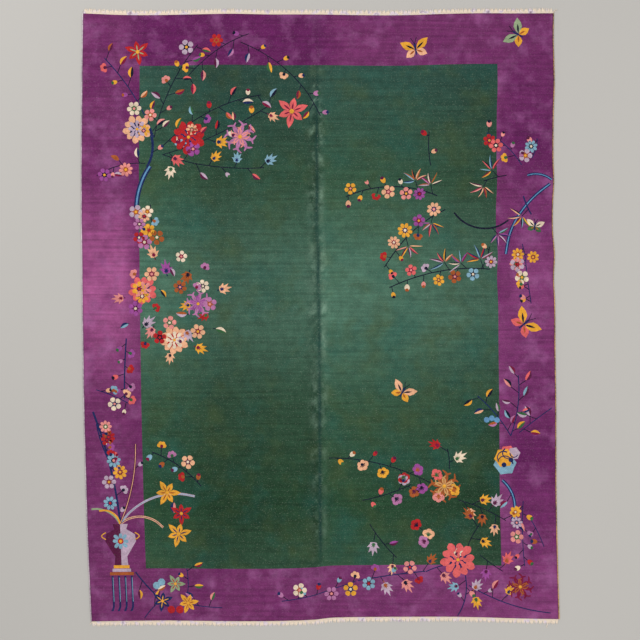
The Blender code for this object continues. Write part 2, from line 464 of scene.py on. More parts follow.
@dataclass
class Spray:
    """One spray of the design: thin closed slabs of dyed pile, knotted through the sheet.

    Motifs are in centimetres on the loom's plan. A course says how proud a slab is clipped: the
    petals read over the leaves, and the leaves over the stems.
    """

    name: str
    lie: Lie
    proud: float = 0.45 * MM
    course_rise: float = 0.16 * MM
    shuffle_rise: float = 0.02 * MM
    shoulder_drop: float = 0.35 * MM
    shoulder_width: float = 0.8 * MM
    course_sink: float = 0.07 * MM
    below: float = -1.0
    crease_zone: float = 0.075
    points: list[tuple[float, float, float]] = field(default_factory=list)
    faces: list[tuple[int, ...]] = field(default_factory=list)
    dyes: list[Dye] = field(default_factory=list)
    slabs: int = 0

    def strip(self, left: Sequence[Point], right: Sequence[Point], dye: Dye, course: int) -> None:
        """Adds a slab between two rails that run the same way.

        Args:
            left: One rail; its ends may meet the other rail's.
            right: The other rail, with as many points.
            dye: The slab's yarn.
            course: How proud it stands.
        """
        last = len(left) - 1
        outline, back = list(left), [0] * len(right)
        for k in range(last, -1, -1):
            if k in (0, last) and math.dist(left[k], right[k]) < 0.01:
                back[k] = k
            else:
                back[k] = len(outline)
                outline.append(right[k])
        cells = [tuple(dict.fromkeys((k, k + 1, back[k + 1], back[k]))) for k in range(last)]
        self.slab(outline, cells, dye, course)

    def patch(self, outline: Sequence[Point], dye: Dye, course: int) -> None:
        """Adds a slab inside one outline."""
        self.slab(list(outline), [tuple(range(len(outline)))], dye, course)

    def slab(
        self, outline: list[Point], cells: list[tuple[int, ...]], dye: Dye, course: int
    ) -> None:
        """Adds a closed slab with a clipped shoulder round its top.

        Args:
            outline: Its outline in plan centimetres.
            cells: The faces of its top, as places in the outline.
            dye: Its yarn.
            course: How proud it stands.
        """
        count = len(outline)
        follow = list(zip(outline, outline[1:] + outline[:1]))
        area = sum(a[0] * b[1] - b[0] * a[1] for a, b in follow) / 2
        if area < 0:
            outline = outline[::-1]
            cells = [tuple(count - 1 - k for k in reversed(cell)) for cell in cells]
        around = sum(math.dist(a, b) for a, b in follow)
        inset = min(self.shoulder_width / CM, 0.7 * abs(area) / around)
        self.slabs += 1
        top = self.proud + course * self.course_rise + self.slabs % 6 * self.shuffle_rise
        low = self.below + self.lie.underside - (course + 1) * self.course_sink
        first = len(self.points)
        for k, (x, y) in enumerate(outline):
            before, after = Vector(outline[k - 1]), Vector(outline[(k + 1) % count])
            here = Vector((x, y))
            came, goes = (here - before).normalized(), (after - here).normalized()
            inwards = Vector((-came.y - goes.y, came.x + goes.x)).normalized()
            share = max(0.45, inwards.dot(Vector((-goes.y, goes.x))))
            inner = here + inwards * inset / share
            self.points.append((x * CM, y * CM, low))
            self.points.append((x * CM, y * CM, top - self.shoulder_drop))
            self.points.append((inner.x * CM, inner.y * CM, top))
        for k in range(count):
            a, b = first + 3 * k, first + 3 * ((k + 1) % count)
            self.faces += [(a, b, b + 1, a + 1), (a + 1, b + 1, b + 2, a + 2)]
        for cell in cells:
            self.faces.append(tuple(first + 3 * k + 2 for k in cell))
            self.faces.append(tuple(first + 3 * k for k in reversed(cell)))
        self.dyes += [dye] * (2 * count + 2 * len(cells))

    def _follow_the_crease(self, shape: bmesh.types.BMesh) -> None:
        """Cuts the slabs over the crease into narrow runs, so that they can dip into it.

        Args:
            shape: All the slabs, still flat.
        """
        for step in range(-9, 10):
            near = [
                f for f in shape.faces
                if min(abs(v.co.x) for v in f.verts) < self.crease_zone
                or min(v.co.x for v in f.verts) < 0 < max(v.co.x for v in f.verts)
            ]
            parts = {e for f in near for e in f.edges} | {v for f in near for v in f.verts}
            if near:
                bmesh.ops.bisect_plane(
                    shape, geom=near + list(parts), dist=1e-6,
                    plane_co=(step * 7 * MM - 6 * MM, 0, 0), plane_no=(1, 0, 0),
                )

    def make(self, wools: "WoolRange") -> bpy.types.Object:
        """Makes the spray's mesh, laid in the pile.

        Args:
            wools: The dyed wools to dress it in.

        Returns:
            The spray's piece.
        """
        mesh = bpy.data.meshes.new(self.name)
        mesh.from_pydata(self.points, [], self.faces)
        used = sorted(set(self.dyes), key=lambda dye: dye.name)
        for dye in used:
            mesh.materials.append(wools.of(dye))
        mesh.polygons.foreach_set("material_index", [used.index(dye) for dye in self.dyes])
        shape = bmesh.new()
        shape.from_mesh(mesh)
        self._follow_the_crease(shape)
        for vert in shape.verts:
            across, along, level = vert.co
            x, y = self.lie.place(across, along)
            under = level < self.below / 2
            vert.co = (x, y, level - self.below if under else level + self.lie.height(across, along))
        bmesh.ops.dissolve_degenerate(shape, dist=1e-6, edges=shape.edges[:])
        shape.to_mesh(mesh)
        shape.free()
        mesh.shade_smooth()
        mesh.set_sharp_from_angle(angle=math.radians(50))
        piece = bpy.data.objects.new(self.name, mesh)
        bpy.context.scene.collection.objects.link(piece)
        LOG.info("%s: %d motifs' slabs, %d faces", self.name, self.slabs, len(mesh.polygons))
        return piece


@dataclass(frozen=True)
class SplitLeaf:
    """A leaf of two dyes that meet at its rib."""

    x: float
    y: float
    tip_x: float
    tip_y: float
    left: Dye
    right: Dye

    fullness = 0.25
    bend = 0.07
    shares = (0.0, 0.1, 0.25, 0.42, 0.6, 0.78, 0.91, 1.0)

    def half_width(self, axis: Axis, share: float) -> float:
        """The leaf's half width, fullest a little before its middle."""
        return axis.length * self.fullness * math.sin(math.pi * share**0.85) ** 0.8

    def draw(self, on: Spray) -> None:
        """Knots both halves.

        Args:
            on: The spray it belongs to.
        """
        axis = Axis((self.x, self.y), (self.tip_x, self.tip_y))
        bend = axis.length * self.bend * (1 if round(self.x + self.y) % 2 else -1)
        ribs = [(share, bend * 4 * share * (1 - share)) for share in self.shares]
        rib = [axis.at(share, off) for share, off in ribs]
        for side, dye in ((1, self.left), (-1, self.right)):
            edge = [axis.at(s, off + side * self.half_width(axis, s)) for s, off in ribs]
            edge[0], edge[-1] = rib[0], rib[-1]
            on.strip(edge, rib, dye, 1)


@dataclass(frozen=True)
class Lance(SplitLeaf):
    """A narrow bamboo leaf of two dyes."""

    bend = 0.04
    breadth = 0.72

    def half_width(self, axis: Axis, share: float) -> float:
        """The leaf's half width, fullest near its base."""
        return self.breadth * math.sin(math.pi * share**0.7) ** 0.9


@dataclass(frozen=True)
class Blossom:
    """An open blossom: rounded petals round a ring of stamens and an eye."""

    x: float
    y: float
    radius: float
    count: float
    petal: Dye
    ring: Dye
    eye: Dye

    def draw(self, on: Spray) -> None:
        """Knots the petals, the ring and the eye.

        Args:
            on: The spray it belongs to.
        """
        centre, count = (self.x, self.y), int(self.count)
        twist = (self.x * 13 + self.y * 7) % (360 / count)
        on.patch(disc(centre, self.radius * 0.62), self.ring, 1)
        breadth = 1.36 * self.radius * math.sin(math.pi / count)
        for k in range(count):
            axis = ray(centre, twist + 360 * k / count, self.radius * 0.3, self.radius * 1.06)
            on.patch(lobe(axis, breadth), self.petal, 2)
        on.patch(disc(centre, self.radius * 0.46, 2 * count, 0.35), self.ring, 3)
        on.patch(disc(centre, self.radius * 0.22, 8), self.eye, 4)


@dataclass(frozen=True)
class SideBlossom:
    """A blossom seen from the side: a fan of petals over its heart, at a heading in degrees."""

    x: float
    y: float
    heading: float
    petal: Dye
    heart: Dye
    radius: float = 3.0

    def draw(self, on: Spray) -> None:
        """Knots the fan and the heart.

        Args:
            on: The spray it belongs to.
        """
        back = ray((self.x, self.y), self.heading + 180, 0, self.radius * 0.35).tip
        for k in (-1.5, -0.5, 0.5, 1.5):
            reach = self.radius * (1.4 if abs(k) < 1 else 1.2)
            axis = ray(back, self.heading + 40 * k, 0.3, reach)
            on.patch(lobe(axis, self.radius * 0.95), self.petal, 2)
        middle = ray(back, self.heading, -0.6, self.radius * 0.65)
        on.patch(lobe(middle, self.radius * 0.8), self.heart, 3)


@dataclass(frozen=True)
class Bud:
    """A round bud with a cap, at the cap's heading in degrees."""

    x: float
    y: float
    heading: float
    radius: float
    body: Dye
    cap: Dye

    def draw(self, on: Spray) -> None:
        """Knots the bud and its cap.

        Args:
            on: The spray it belongs to.
        """
        centre = (self.x, self.y)
        axis = ray(centre, self.heading, -self.radius * 1.15, self.radius)
        on.patch(lobe(axis, self.radius * 1.8), self.body, 2)
        axis = ray(centre, self.heading, self.radius * 0.2, self.radius * 1.3)
        on.patch(lobe(axis, self.radius * 1.4, 8), self.cap, 3)


@dataclass(frozen=True)
class MapleLeaf:
    """A leaf of five points, with a patch of a second dye over its base."""

    x: float
    y: float
    tip_x: float
    tip_y: float
    leaf: Dye
    patch: Dye

    points = (
        (0, 1.0), (12, 0.56), (25, 0.82), (39, 0.4), (56, 0.6), (76, 0.28), (100, 0.28), (140, 0.12),
    )

    def star(self, size: float, axis: Axis) -> list[Point]:
        """The leaf's outline at a size, about a point a quarter of the way up.

        Args:
            size: Its share of the whole leaf.
            axis: From the stalk to the tip.

        Returns:
            The outline.
        """
        heart = axis.at(0.12)
        facing = math.degrees(math.atan2(self.tip_y - self.y, self.tip_x - self.x))
        reach = axis.length * 0.95 * size
        turns = [(a, r) for a, r in self.points] + [(-a, r) for a, r in self.points[:0:-1]]
        return [ray(heart, facing + a, 0, reach * r).tip for a, r in turns]

    def draw(self, on: Spray) -> None:
        """Knots the leaf, its patch and its stalk.

        Args:
            on: The spray it belongs to.
        """
        axis = Axis((self.x, self.y), (self.tip_x, self.tip_y))
        on.patch(self.star(1.0, axis), self.leaf, 1)
        on.patch(self.star(0.42, axis), self.patch, 2)
        stalk = [axis.at(-0.15, 0.25), axis.at(0.2, 0.2)]
        on.strip(stalk, [axis.at(-0.15, -0.25), axis.at(0.2, -0.2)], self.patch, 0)


@dataclass(frozen=True)
class Stem:
    """A flowing line of one dye, or of two side by side, that may taper."""

    widths: tuple[float, ...]
    dyes: tuple[Dye, ...]
    points: tuple[Point, ...]
    course = 0

    def draw(self, on: Spray) -> None:
        """Knots the line.

        Args:
            on: The spray it belongs to.
        """
        line = flowing(self.points)
        last = len(line) - 1
        rails: list[list[Point]] = [[], [], []]
        for k, here in enumerate(line):
            axis = Axis(line[max(k - 1, 0)], line[min(k + 1, last)])
            width = self.widths[0] + (self.widths[-1] - self.widths[0]) * k / last
            for rail, side in zip(rails, (0.5, 0.0, -0.5)):
                off = axis.at(0, side * width)
                rail.append((here[0] + off[0] - axis.base[0], here[1] + off[1] - axis.base[1]))
        if len(self.dyes) == 1:
            on.strip(rails[0], rails[2], self.dyes[0], self.course)
        else:
            on.strip(rails[0], rails[1], self.dyes[0], self.course)
            on.strip(rails[1], rails[2], self.dyes[1], self.course)


@dataclass(frozen=True)
class Ribbon(Stem):
    """A line that lies over leaves and petals: a vein, a feeler or a curl."""

    course = 3


@dataclass(frozen=True)
class Lobes:
    """Round patches of one dye and one radius: pansy faces, petals, dots and hearts."""

    course: float
    radius: float
    dye: Dye
    centres: tuple[Point, ...]

    def draw(self, on: Spray) -> None:
        """Knots each patch, a little wavy at its edge when it is big.

        Args:
            on: The spray it belongs to.
        """
        for centre in self.centres:
            big = self.radius > 1.6
            outline = disc(centre, self.radius, 14 if big else 9, 0.05 if big else 0.0)
            on.patch(outline, self.dye, int(self.course))


@dataclass(frozen=True)
class Pansy:
    """A pansy's face: broad upper petals, smaller lower ones, and a dark heart with whiskers."""

    x: float
    y: float
    heading: float
    radius: float
    petal: Dye
    heart: Dye

    def draw(self, on: Spray) -> None:
        """Knots the petals, the heart and its whiskers.

        Args:
            on: The spray it belongs to.
        """
        centre = (self.x, self.y)
        shapes = (
            (0, 1.1, 1.0), (62, 1.1, 1.05), (-62, 1.1, 1.05), (128, 0.8, 0.8), (-128, 0.8, 0.8),
        )
        for turn, reach, breadth in shapes:
            axis = ray(centre, self.heading + turn, 0, self.radius * reach)
            on.patch(lobe(axis, self.radius * breadth), self.petal, 1)
        for turn in (-70, -35, 0, 35, 70):
            axis = ray(centre, self.heading + turn, -0.2, self.radius * 0.6)
            on.patch(lobe(axis, self.radius * 0.2, 6), self.heart, 2)
        on.patch(disc(centre, self.radius * 0.26, 8), self.heart, 3)


@dataclass(frozen=True)
class Panel:
    """A patch inside an outline drawn for it alone."""

    course: float
    dye: Dye
    outline: tuple[Point, ...]

    def draw(self, on: Spray) -> None:
        """Knots the patch.

        Args:
            on: The spray it belongs to.
        """
        on.patch(self.outline, self.dye, int(self.course))


@dataclass(frozen=True)
class Petals:
    """Pointed petals from one centre to the tips given, with a streak of a second dye."""

    x: float
    y: float
    breadth: float
    petal: Dye
    streak: Dye
    tips: tuple[Point, ...]

    def draw(self, on: Spray) -> None:
        """Knots the petals and their streaks.

        Args:
            on: The spray it belongs to.
        """
        for tip in self.tips:
            axis = Axis((self.x, self.y), tip)
            for size, dye, course in ((1.0, self.petal, 2), (0.26, self.streak, 3)):
                rails: list[list[Point]] = [[], []]
                for share in (0.0, 0.2, 0.45, 0.7, 0.88, 1.0):
                    half = size * self.breadth / 2 * math.sin(math.pi * share**0.95) ** 1.1
                    along = 0.06 + share * (0.94 if size == 1.0 else 0.6)
                    for rail, side in zip(rails, (1, -1)):
                        rail.append(axis.at(along, side * half if 0 < share < 1 else 0.0))
                on.strip(rails[0], rails[1], dye, course)


@dataclass(frozen=True)
class Rays:
    """A ring of narrow petals that may hook at their tips, as on a chrysanthemum.

    The sweep is the part of the ring that it fills, from a heading, both in degrees.
    """

    x: float
    y: float
    start: float
    stop: float
    count: float
    width: float
    hook: float
    heading: float
    sweep: float
    dye: Dye
    course: float = 2

    def draw(self, on: Spray) -> None:
        """Knots the petals.

        Args:
            on: The spray it belongs to.
        """
        for k in range(int(self.count)):
            facing = self.heading + self.sweep * k / self.count
            turn = self.hook * (1 if k % 2 else -1)
            reach = self.stop * (1 if k % 2 else 0.9)
            line = []
            for share in (0.0, 0.4, 0.75, 1.0):
                bent = facing + turn * share**3
                line.append(ray((self.x, self.y), bent, 0, self.start + (reach - self.start) * share).tip)
            left, right = [], []
            points = flowing(line, 1.2)
            for n, here in enumerate(points):
                axis = Axis(points[max(n - 1, 0)], points[min(n + 1, len(points) - 1)])
                half = self.width / 2 * math.sin(math.pi * (0.15 + 0.8 * n / len(points)))
                shift = axis.at(0, half)
                off = (shift[0] - axis.base[0], shift[1] - axis.base[1])
                left.append((here[0] + off[0], here[1] + off[1]))
                right.append((here[0] - off[0], here[1] - off[1]))
            on.strip(left, right, self.dye, int(self.course))


@dataclass(frozen=True)
class KnottedPile:
    """Worsted wool, hand-knotted and clipped level: matt, with a faint bloom and a flecked face.

    Each knot is a tuft about 3.4 mm across. Tufts differ a little in tone, and the old pile's
    paler roots show between them as flecks.
    """

    knot: float = 3.4 * MM
    # Real flecks are one knot, too fine to show on the whole carpet, so they are drawn two knots wide.
    fleck: float = 7.0 * MM
    fleck_colour: str = "#93a08c"
    fleck_strength: float = 0.22
    mottle: float = 45 * MM
    tuft_relief: float = 0.9 * MM
    roughness: float = 0.92
    bloom: float = 0.05
    bloom_roughness: float = 0.45
    wool_ior: float = 1.54

    def material(self, name: str) -> tuple[bpy.types.Material, bpy.types.NodeTree]:
        """Starts a material with the shader's plain values.

        Args:
            name: The finish's name.

        Returns:
            The material and its nodes.
        """
        made = bpy.data.materials.new(name)
        made.use_nodes = True
        shader = made.node_tree.nodes["Principled BSDF"]
        for socket, value in (
            ("Roughness", self.roughness), ("IOR", self.wool_ior), ("Specular IOR Level", 0.08),
            ("Sheen Weight", self.bloom), ("Sheen Roughness", self.bloom_roughness),
        ):
            shader.inputs[socket].default_value = value
        return made, made.node_tree

    def dress(
        self, tree: bpy.types.NodeTree, place: bpy.types.NodeSocket, ground: bpy.types.NodeSocket
    ) -> None:
        """Adds tufts, mottle and flecks to a ground colour, and the tufts' relief.

        Args:
            tree: The material's nodes.
            place: Where on the carpet, in metres.
            ground: The dyed colour before them.
        """
        shader = tree.nodes["Principled BSDF"]
        tufts = add_node(
            tree, "ShaderNodeTexVoronoi", {"Scale": 1 / self.knot, "Randomness": 0.75},
            {"Vector": place},
        )
        tone = add_node(
            tree, "ShaderNodeMapRange", {"To Min": 0.86, "To Max": 1.14},
            {"Value": tufts.outputs["Color"]},
        )
        clouds = add_node(
            tree, "ShaderNodeTexNoise", {"Scale": 1 / self.mottle, "Detail": 3.0, "Roughness": 0.6},
            {"Vector": place},
        )
        shade = add_node(
            tree, "ShaderNodeMapRange",
            {"From Min": 0.3, "From Max": 0.7, "To Min": 0.84, "To Max": 1.16},
            {"Value": clouds.outputs["Fac"]},
        )
        both = add_node(
            tree, "ShaderNodeMath", {"operation": "MULTIPLY"},
            {0: tone.outputs["Result"], 1: shade.outputs["Result"]},
        )
        toned = add_node(
            tree, "ShaderNodeMix", {"data_type": "RGBA", "blend_type": "MULTIPLY", MIX_FACTOR: 1.0},
            {MIX_A: ground, MIX_B: both.outputs["Value"]},
        )
        grains = add_node(
            tree, "ShaderNodeTexNoise", {"Scale": 1 / self.fleck, "Detail": 1.0, "Roughness": 0.7},
            {"Vector": place},
        )
        fleck = add_node(
            tree, "ShaderNodeMapRange",
            {"From Min": 0.58, "From Max": 0.76, "To Min": 0.0, "To Max": self.fleck_strength},
            {"Value": grains.outputs["Fac"]},
        )
        flecked = add_node(
            tree, "ShaderNodeMix",
            {"data_type": "RGBA", MIX_B: linear(self.fleck_colour)},
            {MIX_FACTOR: fleck.outputs["Result"], MIX_A: toned.outputs[MIX_RESULT]},
        )
        tree.links.new(flecked.outputs[MIX_RESULT], shader.inputs["Base Color"])
        relief = add_node(
            tree, "ShaderNodeBump", {"Strength": 0.8, "Distance": self.tuft_relief, "invert": True},
            {"Height": tufts.outputs["Distance"]},
        )
        tree.links.new(relief.outputs["Normal"], shader.inputs["Normal"])


@dataclass
class WoolRange:
    """The dyed wools of the design: one knotted-pile finish in each dye, made when first asked for."""

    finish: KnottedPile = field(default_factory=lambda: KnottedPile(fleck_strength=0.14))
    # Skeins took the dye unevenly, so one dye drifts between a paler and a deeper tone.
    skein: float = 12 * MM
    made: dict[Dye, bpy.types.Material] = field(default_factory=dict)

    def of(self, dye: Dye) -> bpy.types.Material:
        """The wool in a dye.

        Args:
            dye: Its yarn colour.

        Returns:
            The finish's material.
        """
        if dye not in self.made:
            made, tree = self.finish.material(f"wool_pile_dyed_{dye.name.lower()}")
            place = add_node(tree, "ShaderNodeTexCoord").outputs["Object"]
            drift = add_node(
                tree, "ShaderNodeTexNoise", {"Scale": 1 / self.skein, "Detail": 2.0}, {"Vector": place}
            )
            deep, pale = (tuple(Vector(linear(dye.value)) * share) for share in (0.62, 1.12))
            tone = add_node(
                tree, "ShaderNodeMix", {"data_type": "RGBA", MIX_A: deep, MIX_B: pale},
                {MIX_FACTOR: drift.outputs["Fac"]},
            )
            self.finish.dress(tree, place, tone.outputs[MIX_RESULT])
            self.made[dye] = made
        return self.made[dye]


@dataclass(frozen=True)
class Abrash:
    """The bands that each new batch of dyed yarn leaves along a ground, and streaks within them.

    Each stop is a place in metres and the sRGB colour there.
    """

    stops: tuple[tuple[float, str], ...]

    def colour(
        self, tree: bpy.types.NodeTree, along: bpy.types.NodeSocket, shift: bpy.types.NodeSocket
    ) -> bpy.types.NodeSocket:
        """Adds the bands.

        Args:
            tree: The material's nodes.
            along: The place along the bands' direction, in metres.
            shift: A small wandering of the bands, in metres.

        Returns:
            The banded colour.
        """
        low, high = self.stops[0][0], self.stops[-1][0]
        moved = add_node(tree, "ShaderNodeMath", {"operation": "ADD"}, {0: along, 1: shift})
        share = add_node(
            tree, "ShaderNodeMapRange", {"From Min": low, "From Max": high},
            {"Value": moved.outputs["Value"]},
        )
        stops = [((place - low) / (high - low), colour) for place, colour in self.stops]
        ramp = add_node(
            tree, "ShaderNodeValToRGB", {"stops": stops}, {"Fac": share.outputs["Result"]}
        )
        return ramp.outputs["Color"]


# The wool was dyed in a few lots, from deep to pale; the last green is the bluer one.
GREEN_LOTS = ("#203c28", "#2c4836", "#406050", "#28443c")
PURPLE_LOTS = ("#5a1e50", "#682c5a", "#783868", "#984f80")


@dataclass(frozen=True)
class GroundDyes:
    """The green field and the purple border, each a knotted pile with its own abrash."""

    finish: KnottedPile = KnottedPile()
    border_finish: KnottedPile = KnottedPile(fleck_colour="#a98097", fleck_strength=0.2)
    field_bands: Abrash = Abrash((
        (-1.5, GREEN_LOTS[1]), (-1.1, GREEN_LOTS[0]), (-0.5, GREEN_LOTS[1]), (0.0, GREEN_LOTS[2]),
        (0.3, GREEN_LOTS[2]), (0.8, GREEN_LOTS[1]), (1.5, GREEN_LOTS[3]),
    ))
    left_bands: Abrash = Abrash((
        (-1.8, PURPLE_LOTS[1]), (-0.5, PURPLE_LOTS[1]), (0.2, PURPLE_LOTS[3]), (0.8, PURPLE_LOTS[1]),
        (1.8, PURPLE_LOTS[1]),
    ))
    right_bands: Abrash = Abrash((
        (-1.8, PURPLE_LOTS[2]), (-0.8, PURPLE_LOTS[0]), (0.2, PURPLE_LOTS[2]), (1.0, PURPLE_LOTS[0]),
        (1.8, PURPLE_LOTS[1]),
    ))
    far_bands: Abrash = Abrash((
        (-1.2, PURPLE_LOTS[0]), (0.0, PURPLE_LOTS[0]), (0.1, PURPLE_LOTS[1]), (1.2, PURPLE_LOTS[1]),
    ))
    near_bands: Abrash = Abrash(((-1.2, PURPLE_LOTS[1]), (0.0, PURPLE_LOTS[1]), (1.2, PURPLE_LOTS[2])))
    # Painted nap shading: brightness across the field, against its middle tone. The pile's nap turns at
    # the crease, and the light it catches on either side is painted into the colour.
    painted_nap_shading: Rows = (
        (-1.04, 1.2), (-0.6, 0.8), (-0.1, 0.95), (-0.03, 0.7), (0.03, 1.2), (0.5, 1.1), (1.04, 0.8),
    )
    streak_across: float = 0.55
    streak_along: float = 16 * MM
    # The crease's pale and dark: pale on its shoulders and folds, partly worn pile and partly painted
    # highlight; dark in its bottom, partly crushed pile and partly painted shade.
    rub_and_highlight_colour: str = "#7d9a86"
    crush_and_shade_colour: str = "#12322f"
    green_patches: Rows = ((4.3, "#3f4d2c"), (3.1, "#1f5149"))
    purple_patches: Rows = ((7.0, "#9a5e90"), (5.0, "#5a1650"))
    patch_strength: float = 0.45

    def _wander(
        self, tree: bpy.types.NodeTree, place: bpy.types.NodeSocket
    ) -> tuple[bpy.types.NodeSocket, bpy.types.NodeSocket]:
        """Adds streaks that run across the carpet, as rows of knots do.

        Args:
            tree: The material's nodes.
            place: Where on the carpet, in metres.

        Returns:
            The bands' wandering in metres, and the streaks' brightness.
        """
        narrow = add_node(
            tree, "ShaderNodeMapping",
            {"Scale": (1 / self.streak_across, 1 / self.streak_along, 1.0)}, {"Vector": place},
        )
        streaks = add_node(
            tree, "ShaderNodeTexNoise", {"Scale": 1.0, "Detail": 3.0, "Roughness": 0.55},
            {"Vector": narrow.outputs["Vector"]},
        )
        bright = add_node(
            tree, "ShaderNodeMapRange",
            {"From Min": 0.3, "From Max": 0.7, "To Min": 0.8, "To Max": 1.2},
            {"Value": streaks.outputs["Fac"]},
        )
        slow = add_node(
            tree, "ShaderNodeTexNoise", {"Scale": 2.2, "Detail": 2.0}, {"Vector": place}
        )
        shift = add_node(
            tree, "ShaderNodeMapRange", {"To Min": -0.05, "To Max": 0.05},
            {"Value": slow.outputs["Fac"]},
        )
        return shift.outputs["Result"], bright.outputs["Result"]

    def _aged(
        self,
        tree: bpy.types.NodeTree,
        place: bpy.types.NodeSocket,
        ground: bpy.types.NodeSocket,
        patches: Rows,
    ) -> bpy.types.NodeSocket:
        """Adds broad soft patches where age has turned the dye a little.

        Args:
            tree: The material's nodes.
            place: Where on the carpet, in metres.
            ground: The colour before them.
            patches: How many there are to a metre, and their colour.

        Returns:
            The colour with them.
        """
        for scale, colour in patches:
            cloud = add_node(
                tree, "ShaderNodeTexNoise", {"Scale": scale, "Detail": 4.0, "Roughness": 0.6},
                {"Vector": place},
            )
            amount = add_node(
                tree, "ShaderNodeMapRange",
                {"From Min": 0.5, "From Max": 0.7, "To Min": 0.0, "To Max": self.patch_strength},
                {"Value": cloud.outputs["Fac"]},
            )
            mixed = add_node(
                tree, "ShaderNodeMix", {"data_type": "RGBA", MIX_B: linear(colour)},
                {MIX_FACTOR: amount.outputs["Result"], MIX_A: ground},
            )
            ground = mixed.outputs[MIX_RESULT]
        return ground

    def _crease_wear_and_shading(
        self,
        tree: bpy.types.NodeTree,
        place: bpy.types.NodeSocket,
        ground: bpy.types.NodeSocket,
        strength: float,
    ) -> bpy.types.NodeSocket:
        """Adds the pale pile beside the crease, in broken patches, and its dark bottom. The pale is
        partly worn pile and partly painted highlight on the crease's shoulders and folds; the dark is
        partly crushed pile and partly painted shade.

        Args:
            tree: The material's nodes.
            place: Where on the carpet, in metres.
            ground: The colour before them.
            strength: How strongly they show.

        Returns:
            The colour with them.
        """
        broken = add_node(
            tree, "ShaderNodeTexNoise", {"Scale": 17.0, "Detail": 4.0, "Roughness": 0.65},
            {"Vector": place},
        )
        # Pale is worn pile with painted highlight; dark is crushed pile with painted shade.
        for mark, colour, least in (("rubbed", self.rub_and_highlight_colour, 0.0), ("folded", self.crush_and_shade_colour, 0.7)):
            found = add_node(tree, "ShaderNodeAttribute", {"attribute_name": mark})
            patchy = add_node(
                tree, "ShaderNodeMapRange",
                {"From Min": 0.42, "From Max": 0.66, "To Min": least * strength, "To Max": strength},
                {"Value": broken.outputs["Fac"]},
            )
            amount = add_node(
                tree, "ShaderNodeMath", {"operation": "MULTIPLY"},
                {0: found.outputs["Fac"], 1: patchy.outputs["Result"]},
            )
            mixed = add_node(
                tree, "ShaderNodeMix", {"data_type": "RGBA", MIX_B: linear(colour)},
                {MIX_FACTOR: amount.outputs["Value"], MIX_A: ground},
            )
            ground = mixed.outputs[MIX_RESULT]
        return ground

    def _start(self, finish: KnottedPile, name: str) -> tuple:
        """Starts a ground's material.

        Args:
            finish: Its pile.
            name: Its name.

        Returns:
            The material, its nodes, the place, X, Y, the bands' wandering and the streaks.
        """
        made, tree = finish.material(name)
        place = add_node(tree, "ShaderNodeTexCoord").outputs["Object"]
        parts = add_node(tree, "ShaderNodeSeparateXYZ", links={0: place})
        shift, streaks = self._wander(tree, place)
        return made, tree, place, parts.outputs["X"], parts.outputs["Y"], shift, streaks

    def field_pile(self) -> bpy.types.Material:
        """The green field's finish.

        Returns:
            The material.
        """
        made, tree, place, x, y, shift, streaks = self._start(self.finish, "wool_pile_green_field")
        bands = self.field_bands.colour(tree, y, shift)
        # Painted nap shading: the field is painted lighter or darker across its width, darkest just left
        # of the crease and lightest just right of it, for how the light catches the nap.
        low, high = self.painted_nap_shading[0][0], self.painted_nap_shading[-1][0]
        share = add_node(tree, "ShaderNodeMapRange", {"From Min": low, "From Max": high}, {"Value": x})
        stops = []
        for at, level in self.painted_nap_shading:
            grey = round(255 * level / 1.4)
            stops.append(((at - low) / (high - low), f"#{grey:02x}{grey:02x}{grey:02x}"))
        ramp = add_node(tree, "ShaderNodeValToRGB", {"stops": stops}, {"Fac": share.outputs["Result"]})
        bright = add_node(
            tree, "ShaderNodeMath", {"operation": "POWER", 1: 1 / 2.2}, {0: ramp.outputs["Color"]}
        )
        bright = add_node(
            tree, "ShaderNodeMath", {"operation": "MULTIPLY", 1: 1.4}, {0: bright.outputs["Value"]}
        )
        both = add_node(
            tree, "ShaderNodeMath", {"operation": "MULTIPLY"}, {0: bright.outputs["Value"], 1: streaks}
        )
        lit = add_node(
            tree, "ShaderNodeMix", {"data_type": "RGBA", "blend_type": "MULTIPLY", MIX_FACTOR: 1.0},
            {MIX_A: bands, MIX_B: both.outputs["Value"]},
        )
        aged = self._aged(tree, place, lit.outputs[MIX_RESULT], self.green_patches)
        self.finish.dress(tree, place, self._crease_wear_and_shading(tree, place, aged, 1.0))
        return made

    def border_pile(self) -> bpy.types.Material:
        """The purple border's finish: its four sides were dyed in their own batches.

        Returns:
            The material.
        """
        finish = self.border_finish
        made, tree, place, x, y, shift, streaks = self._start(finish, "wool_pile_purple_border")

        def share(value: bpy.types.NodeSocket, low: float, high: float) -> bpy.types.NodeSocket:
            """How far a value has gone between two others, from 0 to 1.

            Args:
                value: The value.
                low: Where it starts.
                high: Where it ends.

            Returns:
                The share.
            """
            made = add_node(
                tree, "ShaderNodeMapRange", {"From Min": low, "From Max": high}, {"Value": value}
            )
            return made.outputs["Result"]

        def mix(
            factor: bpy.types.NodeSocket, first: bpy.types.NodeSocket, second: bpy.types.NodeSocket
        ) -> bpy.types.NodeSocket:
            """The first colour, turning into the second.

            Args:
                factor: How far it has turned.
                first: The first colour.
                second: The second colour.

            Returns:
                The colour.
            """
            made = add_node(
                tree, "ShaderNodeMix", {"data_type": "RGBA"},
                {MIX_FACTOR: factor, MIX_A: first, MIX_B: second},
            )
            return made.outputs[MIX_RESULT]

